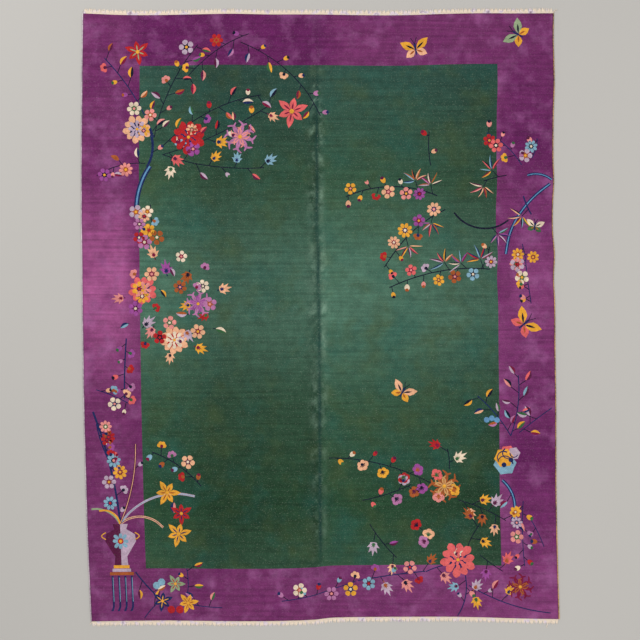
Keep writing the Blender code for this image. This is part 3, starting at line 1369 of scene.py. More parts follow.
        left = self.left_bands.colour(tree, y, shift)
        right = self.right_bands.colour(tree, y, shift)
        sides = mix(share(x, -0.9, 0.9), left, right)
        far = self.far_bands.colour(tree, x, shift)
        near = self.near_bands.colour(tree, x, shift)
        ends = mix(share(y, -0.1, 0.1), near, far)
        far_out = add_node(tree, "ShaderNodeMath", {"operation": "ABSOLUTE"}, {0: x}).outputs[0]
        ground = mix(share(far_out, 1.02, 1.16), ends, sides)
        lit = add_node(
            tree, "ShaderNodeMix", {"data_type": "RGBA", "blend_type": "MULTIPLY", MIX_FACTOR: 1.0},
            {MIX_A: ground, MIX_B: streaks},
        )
        aged = self._aged(tree, place, lit.outputs[MIX_RESULT], self.purple_patches)
        # The crease's worn pile, painted highlight and painted shade show more faintly on the border.
        finish.dress(tree, place, self._crease_wear_and_shading(tree, place, aged, 0.35))
        return made


@dataclass
class GroundPile:
    """The pile and foundation: one thick sheet, creased down its middle where it was kept folded."""

    lie: Lie
    dyes: GroundDyes = field(default_factory=GroundDyes)
    field_box: tuple[float, float, float, float] = (-1.038, -1.460, 1.044, 1.468)
    row_step: float = 11.5 * MM
    column_step: float = 31 * MM
    crease_step: float = 3.2 * MM
    crease_zone: float = 62 * MM
    edge_steps: tuple[float, ...] = (0.0, 1.2 * MM, 3.0 * MM, 5.2 * MM, 8.0 * MM)

    def stations(self, half: float, step: float, exact: Sequence[float]) -> list[float]:
        """Places from one edge to the other, close together at both, with some places exact.

        Args:
            half: Half the width.
            step: The spacing inside.
            exact: Places that must be among them.

        Returns:
            The places, in order.
        """
        edge = [half - inwards for inwards in self.edge_steps]
        inner = half - 2 * self.edge_steps[-1]
        count = round(2 * inner / step)
        places = [-inner + 2 * inner * k / count for k in range(count + 1)]
        places = [p for p in places if min(abs(p - e) for e in exact) > step * 0.45]
        return sorted([-p for p in edge] + places + list(exact) + edge)

    def rows(self) -> list[float]:
        """Places along the carpet."""
        return self.stations(self.lie.length / 2, self.row_step, self.field_box[1::2])

    def columns(self) -> list[float]:
        """Places across the carpet, closest together over the crease.

        Returns:
            The places, in order.
        """
        fine = round(self.crease_zone / self.crease_step)
        over = [k * self.crease_step for k in range(-fine, fine + 1)]
        inside = self.stations(self.lie.width / 2, self.column_step, self.field_box[::2])
        return sorted([p for p in inside if abs(p) > self.crease_zone + self.crease_step] + over)

    def marks(self, across: float, along: float) -> tuple[float, float]:
        """How pale the pile beside the crease is painted, for worn pile and painted highlight, and how
        dark its bottom is painted, for crushed pile and painted shade, from 0 to 1.

        Args:
            across: Metres from the middle, towards +X.
            along: Metres from the middle, towards +Y.

        Returns:
            The two shares.
        """
        off = self.lie.off_crease(across, along)
        wander = 0.5 + 0.5 * math.sin(along * 23 + 2 * math.sin(along * 7.3))
        # Pale on the trough's two shoulders: partly worn pile, partly painted highlight.
        beside = math.exp(-((off - 2.0) ** 2) / 1.6) * (0.2 + 0.4 * wander)
        beside += math.exp(-((off + 1.6) ** 2) / 3.5) * (0.12 + 0.4 * wander)
        # Pale on the ridges of the short folds: painted highlight.
        folds = min(0.9, max(0.0, self.lie.folds(across, along)) / MM * 0.9)
        # Dark along the trough's bottom: partly crushed pile, partly painted shade.
        dark = math.exp(-(((off - 0.3) / 0.75) ** 2)) * (0.65 + 0.3 * wander)
        fade = 0.2 + 0.8 * min(1.0, max(0.0, (1.5 - abs(along)) / 0.25))
        kept = 0.45 + 0.55 * min(1.0, max(0.0, (along + 0.75) / 0.4))
        return min(0.8, beside + folds) * fade * kept, dark * fade

    def make(self) -> bpy.types.Object:
        """Makes the sheet's mesh and dresses it.

        Returns:
            The piece.
        """
        rows, columns = self.rows(), self.columns()
        wide, deep = len(columns), len(rows)
        tops, unders, rubbed, folded = [], [], [], []
        for along in rows:
            for across in columns:
                x, y = self.lie.place(across, along)
                tops.append((x, y, self.lie.height(across, along)))
                unders.append((x, y, self.lie.underside))
                # Pale and dark along the crease: worn pile with painted highlight, and crushed pile with
                # painted shade.
                pale, dark = self.marks(across, along)
                rubbed.append(pale)
                folded.append(dark)
        faces, kinds, total = [], [], wide * deep
        left, low, right, high = self.field_box
        for j in range(deep - 1):
            for i in range(wide - 1):
                a = j * wide + i
                cell = (a, a + 1, a + 1 + wide, a + wide)
                middle = (columns[i] + columns[i + 1]) / 2, (rows[j] + rows[j + 1]) / 2
                inside = left < middle[0] < right and low < middle[1] < high
                faces += [cell, tuple(total + k for k in reversed(cell))]
                kinds += [0 if inside else 1] * 2
        rim = [*range(wide), *range(2 * wide - 1, total, wide)]
        rim += [*range(total - 2, total - wide - 1, -1), *range(total - 2 * wide, 0, -wide)]
        for a, b in zip(rim, rim[1:] + rim[:1]):
            faces.append((a, total + a, total + b, b))
            kinds.append(1)
        mesh = bpy.data.meshes.new("ground_pile")
        mesh.from_pydata(tops + unders, [], faces)
        for name, values in (("rubbed", rubbed), ("folded", folded)):
            mark = mesh.attributes.new(name, "FLOAT", "POINT")
            mark.data.foreach_set("value", values + values)
        mesh.materials.append(self.dyes.field_pile())
        mesh.materials.append(self.dyes.border_pile())
        mesh.polygons.foreach_set("material_index", kinds)
        mesh.shade_smooth()
        mesh.set_sharp_from_angle(angle=math.radians(50))
        piece = bpy.data.objects.new("ground_pile", mesh)
        bpy.context.scene.collection.objects.link(piece)
        LOG.info("ground_pile: %d rows by %d columns", deep, wide)
        return piece


@dataclass(frozen=True)
class CordYarn:
    """Plied cotton and wool yarn wound over a cord: matt, each wrap a little paler or deeper."""

    name: str
    pale: str
    deep: str
    wrap: float = 3.6 * MM
    roughness: float = 0.85
    bloom: float = 0.1

    def material(self) -> bpy.types.Material:
        """The yarn's material: tone drifts along the edge, and plies show as fine relief.

        Returns:
            The material.
        """
        made = bpy.data.materials.new(self.name)
        made.use_nodes = True
        tree = made.node_tree
        shader = tree.nodes["Principled BSDF"]
        for socket, value in (("Roughness", self.roughness), ("Sheen Weight", self.bloom)):
            shader.inputs[socket].default_value = value
        place = add_node(tree, "ShaderNodeTexCoord").outputs["Object"]
        drift = add_node(tree, "ShaderNodeTexNoise", {"Scale": 9.0, "Detail": 4.0}, {"Vector": place})
        wraps = add_node(
            tree, "ShaderNodeTexNoise", {"Scale": 0.5 / self.wrap, "Detail": 1.0}, {"Vector": place}
        )
        both = add_node(
            tree, "ShaderNodeMath", {"operation": "ADD"},
            {0: drift.outputs["Fac"], 1: wraps.outputs["Fac"]},
        )
        share = add_node(
            tree, "ShaderNodeMapRange", {"From Min": 0.75, "From Max": 1.25},
            {"Value": both.outputs["Value"]},
        )
        colour = add_node(
            tree, "ShaderNodeMix",
            {"data_type": "RGBA", MIX_A: linear(self.deep), MIX_B: linear(self.pale)},
            {MIX_FACTOR: share.outputs["Result"]},
        )
        tree.links.new(colour.outputs[MIX_RESULT], shader.inputs["Base Color"])
        plies = add_node(
            tree, "ShaderNodeTexNoise", {"Scale": 3 / self.wrap, "Detail": 2.0}, {"Vector": place}
        )
        relief = add_node(
            tree, "ShaderNodeBump", {"Strength": 0.5, "Distance": 0.3 * MM},
            {"Height": plies.outputs["Fac"]},
        )
        tree.links.new(relief.outputs["Normal"], shader.inputs["Normal"])
        return made


@dataclass
class SideCord:
    """An overcast cord down a long side: yarn wrapped slantwise over the outer warps."""

    lie: Lie
    side: Side
    yarn: CordYarn
    radius: float = 3.4 * MM
    gap: float = 0.5 * MM
    wrap: float = 3.6 * MM
    wrap_depth: float = 0.45 * MM
    slant: float = 1.3 * MM
    around: int = 10

    def make(self) -> bpy.types.Object:
        """Makes the cord as one closed tube whose surface rises at each wrap.

        Returns:
            The piece.
        """
        half, sign = self.lie.length / 2, self.side.value
        count = 3 * round(2 * half / self.wrap)
        points, faces = [], []
        for k in range(count + 1):
            along = -half + 2 * half * k / count
            x, y = self.lie.place(sign * self.lie.width / 2, along)
            middle = x + sign * (self.gap + self.radius)
            for j in range(self.around):
                turn = math.tau * j / self.around
                phase = math.tau * (along + self.slant * math.cos(turn) * sign) / self.wrap
                radius = self.radius - self.wrap_depth * (0.5 + 0.5 * math.cos(phase))
                points.append((
                    middle + radius * math.cos(turn), y, self.radius + radius * math.sin(turn),
                ))
        n = self.around
        for k in range(count):
            for j in range(n):
                a, b = k * n + j, k * n + (j + 1) % n
                faces.append((a, a + n, b + n, b))
        faces.append(tuple(range(n)))
        faces.append(tuple(range((count + 1) * n - 1, count * n - 1, -1)))
        name = f"side_cord_{self.side.name.lower()}"
        mesh = bpy.data.meshes.new(name)
        mesh.from_pydata(points, [], faces)
        mesh.materials.append(self.yarn.material())
        mesh.shade_smooth()
        mesh.set_sharp_from_angle(angle=math.radians(60))
        piece = bpy.data.objects.new(name, mesh)
        bpy.context.scene.collection.objects.link(piece)
        LOG.info("%s: %d wraps", name, count // 3)
        return piece


@dataclass
class Fringe:
    """The warps beyond an end of the pile: a narrow woven web, then a short worn fringe."""

    lie: Lie
    end: End
    pitch: float = 3.6 * MM
    gap: float = 0.5 * MM
    web_depth: float = 9.0 * MM
    web_thickness: float = 2.6 * MM
    web_step: float = 7.0 * MM
    length: float = 23.0 * MM
    ragged: float = 4.5 * MM
    strand: float = 2.1 * MM
    bunch: int = 7
    points: list[tuple[float, float, float]] = field(default_factory=list)
    faces: list[tuple[int, ...]] = field(default_factory=list)

    def tube(self, line: list[tuple[float, float, float]], radii: list[float]) -> None:
        """Adds one closed, flattened strand.

        Args:
            line: The places it passes through.
            radii: Its half width at each.
        """
        first, n = len(self.points), 5
        for (x, y, z), radius in zip(line, radii):
            for j in range(n):
                turn = math.tau * j / n
                height = max(0.1 * MM, z + radius * 0.7 * math.sin(turn))
                self.points.append((x + radius * math.cos(turn), y, height))
        outwards = self.end.value > 0
        for k in range(len(line) - 1):
            for j in range(n):
                a, b = first + k * n + j, first + k * n + (j + 1) % n
                cell = (a, a + n, b + n, b)
                self.faces.append(cell if outwards else cell[::-1])
        caps = [tuple(range(first, first + n))]
        stop = first + (len(line) - 1) * n
        caps.append(tuple(range(stop + n - 1, stop - 1, -1)))
        self.faces += caps if outwards else [cap[::-1] for cap in caps]

    def web(self) -> None:
        """Adds the woven web: a flat band whose thickness rises and falls with its weft."""
        sign, half = self.end.value, self.lie.width / 2
        count = round(2 * half / self.web_step)
        first = len(self.points)
        for k in range(count + 1):
            across = -half + 2 * half * k / count
            x, y = self.lie.place(across, sign * self.lie.length / 2)
            swell = 0.25 * MM * math.sin(k * 2.1)
            for out, level in ((0, 0.1 * MM), (0, self.web_thickness), (0.5, self.web_thickness + swell),
                               (1, self.web_thickness * 0.7), (1, 0.1 * MM)):
                self.points.append((x, y + sign * (self.gap + self.web_depth * out), level))
        for k in range(count):
            for j in range(5):
                a, b = first + k * 5 + j, first + k * 5 + (j + 1) % 5
                cell = (a, a + 5, b + 5, b)
                self.faces.append(cell[::-1] if sign > 0 else cell)
        caps = [
            tuple(range(first, first + 5)), tuple(range(len(self.points) - 1, len(self.points) - 6, -1)),
        ]
        self.faces += [cap[::-1] for cap in caps] if sign > 0 else caps

    def make(self, cotton: bpy.types.Material) -> bpy.types.Object:
        """Makes the web and its strands.

        Args:
            cotton: The warps' finish.

        Returns:
            The piece.
        """
        chance = random.Random(41 + self.end.value)
        sign, half = self.end.value, self.lie.width / 2
        self.web()
        count = int((2 * half - 4 * MM) / self.pitch)
        for k in range(count):
            across = -half + 3 * MM + k * self.pitch
            x, y = self.lie.place(across, sign * self.lie.length / 2)
            start = y + sign * (self.gap + self.web_depth - 2 * MM)
            gather = ((k // self.bunch + 0.5) * self.bunch - 0.5 - k) * self.pitch * 0.35
            lean = (chance.random() - 0.5) * 7 * MM
            reach = self.length + (chance.random() - 0.55) * 2 * self.ragged
            lift = (0.6 + 1.3 * chance.random()) * MM
            line = []
            for share in (0.0, 0.3, 0.65, 1.0):
                sway = (gather + lean * share) * share
                line.append((x + sway, start + sign * reach * share, lift + 0.6 * MM * (1 - share)))
            width = self.strand * (0.85 + 0.4 * chance.random())
            self.tube(line, [width * 0.8, width, width * 0.8, width * 0.25])
        for line in CORNER_STRANDS[self.end]:
            radii = [self.strand * 1.1] * (len(line) - 1) + [self.strand * 0.3]
            self.tube([(x, y, 1.8 * MM) for x, y in line], radii)
        name = f"fringe_{self.end.name.lower()}_end"
        mesh = bpy.data.meshes.new(name)
        mesh.from_pydata(self.points, [], self.faces)
        mesh.materials.append(cotton)
        mesh.shade_smooth()
        mesh.set_sharp_from_angle(angle=math.radians(60))
        piece = bpy.data.objects.new(name, mesh)
        bpy.context.scene.collection.objects.link(piece)
        LOG.info("%s: %d strands", name, count)
        return piece


# Tufts that have worked loose at the corners: the places each passes through, in metres.
CORNER_STRANDS = {
    End.FAR: (
        ((-1.366, 1.776), (-1.372, 1.784), (-1.380, 1.786), (-1.391, 1.784)),
        ((-1.364, 1.779), (-1.371, 1.787), (-1.378, 1.792), (-1.386, 1.793)),
        ((1.352, 1.776), (1.362, 1.786), (1.372, 1.794), (1.383, 1.801)),
        ((1.356, 1.775), (1.366, 1.783), (1.377, 1.790), (1.388, 1.795)),
    ),
    End.NEAR: (
        ((-1.330, -1.776), (-1.337, -1.784), (-1.343, -1.790), (-1.346, -1.798)),
        ((1.318, -1.764), (1.324, -1.780), (1.328, -1.794), (1.321, -1.806), (1.326, -1.815)),
        ((1.338, -1.762), (1.342, -1.774), (1.351, -1.784), (1.356, -1.795)),
    ),
}


@dataclass(frozen=True)
class WarpCotton:
    """Undyed cotton warp yarn: cream and matt, greyed with lilac where the border's dye ran."""

    cream: str = "#e3d2bd"
    stained: str = "#d9cbd6"
    shadow: str = "#9c8693"
    yarn: float = 1.6 * MM
    roughness: float = 0.88

    def material(self) -> bpy.types.Material:
        """The warps' material: stain drifts along the end, and plies show as fine relief.

        Returns:
            The material.
        """
        made = bpy.data.materials.new("cotton_warp_undyed")
        made.use_nodes = True
        tree = made.node_tree
        shader = tree.nodes["Principled BSDF"]
        for socket, value in (("Roughness", self.roughness), ("Sheen Weight", 0.15)):
            shader.inputs[socket].default_value = value
        place = add_node(tree, "ShaderNodeTexCoord").outputs["Object"]
        runs = add_node(tree, "ShaderNodeTexNoise", {"Scale": 24.0, "Detail": 4.0}, {"Vector": place})
        colour = add_node(
            tree, "ShaderNodeValToRGB",
            {"stops": [(0.28, self.shadow), (0.38, self.stained), (0.5, self.cream)]},
            {"Fac": runs.outputs["Fac"]},
        )
        tree.links.new(colour.outputs["Color"], shader.inputs["Base Color"])
        plies = add_node(
            tree, "ShaderNodeTexNoise", {"Scale": 1 / self.yarn, "Detail": 2.0}, {"Vector": place}
        )
        relief = add_node(
            tree, "ShaderNodeBump", {"Strength": 0.6, "Distance": 0.4 * MM},
            {"Height": plies.outputs["Fac"]},
        )
        tree.links.new(relief.outputs["Normal"], shader.inputs["Normal"])
        return made


@dataclass(frozen=True)
class Studio:
    """The plain pale floor, soft lights and the camera straight above the carpet."""

    floor_half: float = 9.0
    floor_colour: str = "#b3b0ab"
    lens: float = 85.0
    sensor: float = 36.0
    framed: float = 3.7376
    pile_level: float = 4.0 * MM
    aim: Point = (-0.0015, -0.016)
    ambient: float = 0.62
    # Each light: name, place, aim, width, and power in watts.
    lights: tuple[tuple[str, tuple[float, float, float], float, float], ...] = (
        ("soft_key", (-3.6, 3.4, 4.4), 3.2, 165.0),
        ("soft_fill", (4.2, 1.0, 4.6), 3.2, 95.0),
        ("soft_near", (0.6, -5.0, 4.4), 3.2, 95.0),
    )

    def floor(self) -> None:
        """Lays a plain matt floor under the carpet."""
        shape = bmesh.new()
        bmesh.ops.create_grid(shape, x_segments=8, y_segments=8, size=self.floor_half)
        mesh = bpy.data.meshes.new("studio_floor")
        shape.to_mesh(mesh)
        shape.free()
        made = bpy.data.materials.new("matt_painted_floor")
        made.use_nodes = True
        tree = made.node_tree
        shader = tree.nodes["Principled BSDF"]
        shader.inputs["Roughness"].default_value = 0.8
        shader.inputs["Base Color"].default_value = linear(self.floor_colour)
        mesh.materials.append(made)
        piece = bpy.data.objects.new("studio_floor", mesh)
        bpy.context.scene.collection.objects.link(piece)

    def light(self) -> None:
        """Sets soft lights round the carpet, and an even light from all round."""
        world = bpy.data.worlds.new("studio")
        world.use_nodes = True
        back = world.node_tree.nodes["Background"]
        back.inputs["Color"].default_value = (1.0, 1.0, 1.0, 1.0)
        back.inputs["Strength"].default_value = self.ambient
        bpy.context.scene.world = world
        for name, place, size, power in self.lights:
            lamp = bpy.data.lights.new(name, "AREA")
            lamp.size, lamp.energy = size, power
            made = bpy.data.objects.new(name, lamp)
            made.location = place
            made.rotation_euler = (-Vector(place)).to_track_quat("-Z", "Y").to_euler()
            bpy.context.scene.collection.objects.link(made)

    def camera(self) -> None:
        """Hangs the camera straight above, so that it frames the carpet as it lies."""
        data = bpy.data.cameras.new("overhead")
        data.lens, data.sensor_width = self.lens, self.sensor
        made = bpy.data.objects.new("overhead", data)
        height = self.framed * self.lens / self.sensor
        made.location = (*self.aim, height + self.pile_level)
        data.clip_end = 100.0
        bpy.context.scene.collection.objects.link(made)
        bpy.context.scene.camera = made


PETAL_DYES = (
    Dye.RED, Dye.GOLD, Dye.PEACH, Dye.MAUVE, Dye.CORAL, Dye.SKY, Dye.CREAM, Dye.RUST, Dye.PINK, Dye.GOLD,
    Dye.VIOLET, Dye.LILAC,
)
SHADE_DYES = (Dye.PLUM, Dye.NAVY, Dye.RUST, Dye.INK, Dye.WINE, Dye.GREEN)
EYE_DYES = (Dye.GOLD, Dye.CREAM, Dye.RED, Dye.PINK)


@dataclass(frozen=True)
class Branch:
    """A branch that bends evenly from its root, in centimetres and degrees.

    What it bears is a letter for each twig: o open blossom, s blossom from the side, b bud, l split
    leaf, m maple leaf, f fan of bamboo leaves, p pansy.
    """

    x: float
    y: float
    heading: float
    length: float
    bend: float
    bears: str
    width: float = 0.5
    wood: Dye = Dye.INK
    light: Dye | None = None

    def at(self, share: float) -> Point:
        """The place this far along.

        Args:
            share: How far, from 0 at the root to 1.

        Returns:
            The place.
        """
        half = math.radians(self.bend) * share / 2
        reach = self.length * share * (math.sin(half) / half if half else 1.0)
        turned = math.radians(self.heading) + half
        return self.x + reach * math.cos(turned), self.y + reach * math.sin(turned)


@dataclass
class Gardener:
    """Grows a spray by rule: each twig leaves its branch on the other side from the one before."""

    seed: int
    twig: tuple[float, float] = (3.0, 6.0)
    twig_angle: tuple[float, float] = (40.0, 75.0)
    stem_points: int = 6
    twig_width: float = 0.45
    most_x: float = 125.0
    most_y: float = 165.0
    motifs: list = field(default_factory=list)
    chance: random.Random = field(init=False)

    def __post_init__(self) -> None:
        """Sets the spray's own run of choices."""
        self.chance = random.Random(self.seed)

    def grow(self, *branches: Branch) -> "Gardener":
        """Draws each branch, then what it bears.

        Args:
            branches: The branches.

        Returns:
            The gardener, to go on with.
        """
        for branch in branches:
            route = tuple(branch.at(k / self.stem_points) for k in range(self.stem_points + 1))
            self.motifs.append(Stem((branch.width,), (branch.wood,), route))
            if branch.light:
                self.motifs.append(Stem((0.4 * branch.width,), (branch.light,), route))
            for k, letter in enumerate(branch.bears):
                share = (k + 0.7) / len(branch.bears)
                side = 1 if k % 2 else -1
                heading = branch.heading + branch.bend * share
                heading += side * self.chance.uniform(*self.twig_angle)
                self.bear(letter, branch.at(share), heading)
        return self

    def bear(self, letter: str, foot: Point, heading: float) -> None:
        """Draws one twig and the flower, bud or leaf at its end.

        Args:
            letter: What it bears.
            foot: Where it leaves the branch.
            heading: Which way it points, in degrees.
        """
        pick = self.chance.choice
        petal, shade, eye = pick(PETAL_DYES), pick(SHADE_DYES), pick(EYE_DYES)
        reach = self.chance.uniform(*self.twig)
        on_pile = [
            lean for lean in (0.0, 180.0, 90.0, 270.0)
            if abs((end := ray(foot, heading + lean, 0.0, reach).tip)[0]) < self.most_x
            and abs(end[1]) < self.most_y
        ]
        if not on_pile:
            return
        heading += on_pile[0]
        tip = ray(foot, heading, 0.0, reach).tip
        self.motifs.append(Stem((self.twig_width,), (Dye.INK,), (foot, tip)))
        if letter == "o":
            radius = self.chance.uniform(3.2, 4.2)
            self.motifs.append(Blossom(*tip, radius, pick((5, 6, 8)), petal, shade, eye))
        elif letter == "s":
            self.motifs.append(SideBlossom(*tip, heading, petal, shade, 2.5))
        elif letter == "b":
            self.motifs.append(Bud(*tip, heading, self.chance.uniform(1.3, 1.8), petal, shade))
        elif letter == "p":
            self.motifs.append(Pansy(*tip, heading, 3.5, petal, shade))
        elif letter == "l":
            far = ray(tip, heading + self.chance.uniform(-30, 30), 0.0, self.chance.uniform(5, 6.5)).tip
            self.motifs.append(SplitLeaf(*tip, *far, petal, shade))
        elif letter == "m":
            far = ray(tip, heading + self.chance.uniform(-25, 25), 0.0, self.chance.uniform(6.5, 8.5)).tip
            self.motifs.append(MapleLeaf(*tip, *far, petal, shade))
        elif letter == "f":
            for lean in (-80, -40, 0, 40, 80):
                far = ray(tip, heading + lean, 0.8, self.chance.uniform(7, 9.5))
                self.motifs.append(Lance(*far.base, *far.tip, pick(PETAL_DYES), pick(SHADE_DYES)))

    def shaggy_flower(self, x: float, y: float, size: float, outer: Dye, inner: Dye) -> "Gardener":
        """Draws a chrysanthemum: two rings of narrow hooked petals round a small heart.

        Args:
            x: Its middle.
            y: Its middle.
            size: Its radius.
            outer: The yarn of the long petals.
            inner: The yarn of the short ones.

        Returns:
            The gardener, to go on with.
        """
        self.motifs += [
            Rays(x, y, 0.15 * size, size, 16, 0.14 * size, 28, 0, 360, outer, 1),
            Rays(x, y, 0.1 * size, 0.66 * size, 11, 0.1 * size, -30, 10, 360, inner, 2),
            Lobes(3, 0.12 * size, Dye.GOLD, ((x, y),)),
        ]
        return self

    def full_flower(
        self, x: float, y: float, size: float, outer: Dye, inner: Dye, back: Dye
    ) -> "Gardener":
        """Draws a peony or lotus: three rings of broad petals over a dark ground.

        Args:
            x: Its middle.
            y: Its middle.
            size: Its radius.
            outer: The yarn of the outer petals.
            inner: The yarn of the two inner rings.
            back: The yarn that shows between the petals.

        Returns:
            The gardener, to go on with.
        """
        self.motifs += [
            Lobes(0, 0.84 * size, back, ((x, y),)),
            Rays(x, y, 0.5 * size, size, 10, 0.48 * size, 8, 9, 360, outer, 1),
            Rays(x, y, 0.3 * size, 0.68 * size, 8, 0.28 * size, 8, 0, 360, inner, 2),
            Rays(x, y, 0.1 * size, 0.38 * size, 6, 0.18 * size, 8, 20, 360, inner, 3),
            Lobes(4, 0.1 * size, Dye.GOLD, ((x, y),)),
        ]
        return self

    def lily(
        self, x: float, y: float, size: float, petal: Dye, streak: Dye, first: float = 0.0
    ) -> "Gardener":
        """Draws a lily of six pointed petals, every other one longer.

        Args:
            x: Its middle.
            y: Its middle.
            size: The length of its long petals.
            petal: Their yarn.
            streak: The yarn down their middles.
            first: Where its first petal points, in degrees.

        Returns:
            The gardener, to go on with.
        """
        tips = tuple(
            ray((x, y), first + 60 * k, 0.0, size * (0.8 if k % 2 else 1.0)).tip for k in range(6)
        )
        self.motifs += [
            Petals(x, y, 0.42 * size, petal, streak, tips), Lobes(4, 0.14 * size, Dye.GOLD, ((x, y),)),
        ]
        return self

    def wreath(self, x: float, y: float, radius: float, bears: str) -> "Gardener":
        """Draws a ring of flowers and leaves, leaning out and in by turns.

        Args:
            x: The ring's middle.
            y: The ring's middle.
            radius: Its radius.
            bears: What stands round it, a letter each, as on a branch.

        Returns:
            The gardener, to go on with.
        """
        for k, letter in enumerate(bears):
            round_it = 360 * k / len(bears)
            foot = ray((x, y), round_it, 0.0, radius + (2.5 if k % 2 else -2.5)).tip
            self.bear(letter, foot, round_it + (20 if k % 2 else 200))
        return self

    def butterfly(
        self, x: float, y: float, size: float, heading: float, wing: Dye, hind: Dye
    ) -> "Gardener":
        """Draws a butterfly seen from above.

        Args:
            x: Its middle.
            y: Its middle.
            size: The length of a fore wing.
            heading: Which way it flies, in degrees.
            wing: The yarn of its fore wings.
            hind: The yarn of its hind wings.

        Returns:
            The gardener, to go on with.
        """
        fore = tuple(ray((x, y), heading + lean, 0.0, size).tip for lean in (55, -55))
        back = tuple(ray((x, y), heading + lean, 0.0, 0.72 * size).tip for lean in (120, -120))
        nose = ray((x, y), heading, -0.3 * size, 0.35 * size)
        self.motifs += [
            Petals(x, y, 0.46 * size, hind, Dye.RUST, back),
            Petals(x, y, 0.5 * size, wing, Dye.INK, fore),
            Ribbon((1.2, 0.6), (Dye.NAVY,), (nose.tip, (x, y), nose.base)),
        ]
        for lean in (25, -25):
            feeler = ray(nose.tip, heading + lean, 0.0, 0.4 * size)
            self.motifs.append(Ribbon((0.35,), (Dye.INK,), (feeler.base, feeler.tip)))
        return self


@dataclass(frozen=True)
class VaseOnStand:
    """A turned vase, half dark and half light, on a stand with a row of legs."""

    x: float = -118.0
    foot: float = -144.0
    profile: Rows = ((0, 4), (5, 3.5), (9, 6), (14, 9), (18, 8.5), (21, 3.5), (24, 4.5))
    stand_half: float = 7.0
    leg_length: float = 20.0
    legs: int = 4

    def motifs(self) -> list:
        """The vase and its stand.

        Returns:
            Their motifs.
        """
        x, foot = self.x, self.foot
        made: list = []
        for side, dye in ((-1, Dye.PLUM), (1, Dye.LILAC)):
            half = [(x + side * half_width, foot + up) for up, half_width in self.profile]
            made.append(Panel(0, dye, ((x, foot), *half, (x, foot + self.profile[-1][0]))))
            handle = [(x + side * (8.6 + 2.4 * math.sin(k * 0.8)), foot + 15 + k) for k in range(5)]
            made.append(Ribbon((0.6,), (Dye.GOLD,), tuple(handle)))
        made += [
            Rays(x, foot + 14, 1.4, 5, 8, 2.2, 6, 0, 360, Dye.SKY, 1),
            Lobes(3, 1.8, Dye.RED, ((x, foot + 14),)), Lobes(4, 1.0, Dye.GOLD, ((x, foot + 14),)),
        ]
        for drop, wide, dye in ((0, 4.6, Dye.GOLD), (2, 5.4, Dye.LILAC), (4, self.stand_half, Dye.RUST)):
            top, low = foot - drop, foot - drop - 1.8
            corners = ((x - wide, top), (x + wide, top), (x + wide, low), (x - wide, low))
            made.append(Panel(0, dye, corners))
        top = foot - 6.2
        for k in range(self.legs):
            leg = x + self.stand_half * (2 * k / (self.legs - 1) - 1) * 0.8
            low = top - self.leg_length
            made.append(Stem((1.1,), (Dye.NAVY,), ((leg, top), (leg, low + 2), (leg - 1.5, low))))
            made.append(Ribbon((0.3,), (Dye.SKY,), ((leg + 0.3, top - 1), (leg + 0.3, low + 5))))
        return made


@dataclass(frozen=True)
class GardenRock:
    """A pierced garden rock: leaning slabs of many dyes, each smaller than the one below it."""

    x: float = 111.0
    y: float = -84.0
    size: float = 11.0
    dyes: tuple[Dye, ...] = (Dye.SKY, Dye.GOLD, Dye.CORAL, Dye.LILAC)

    def motifs(self) -> list:
        """The rock, its holes and its veins.

        Returns:
            Their motifs.
        """
        made: list = []
        for k, dye in enumerate(self.dyes):
            lean = ray((self.x, self.y), 215 - 50 * k, 0.0, 0.38 * self.size).tip
            made.append(Panel(k % 2, dye, tuple(disc(lean, self.size * (0.62 - 0.09 * k), 12, 0.16))))
            vein = [ray(lean, 40 * j + 60 * k, 0.0, self.size * (0.42 - 0.07 * k)).tip for j in range(5)]
            made.append(Ribbon((0.8, 0.5), (Dye.NAVY,), tuple(vein)))
        made.append(Lobes(3, 1.5, Dye.NAVY, ((self.x, self.y), (self.x - 4, self.y - 3))))
        return made


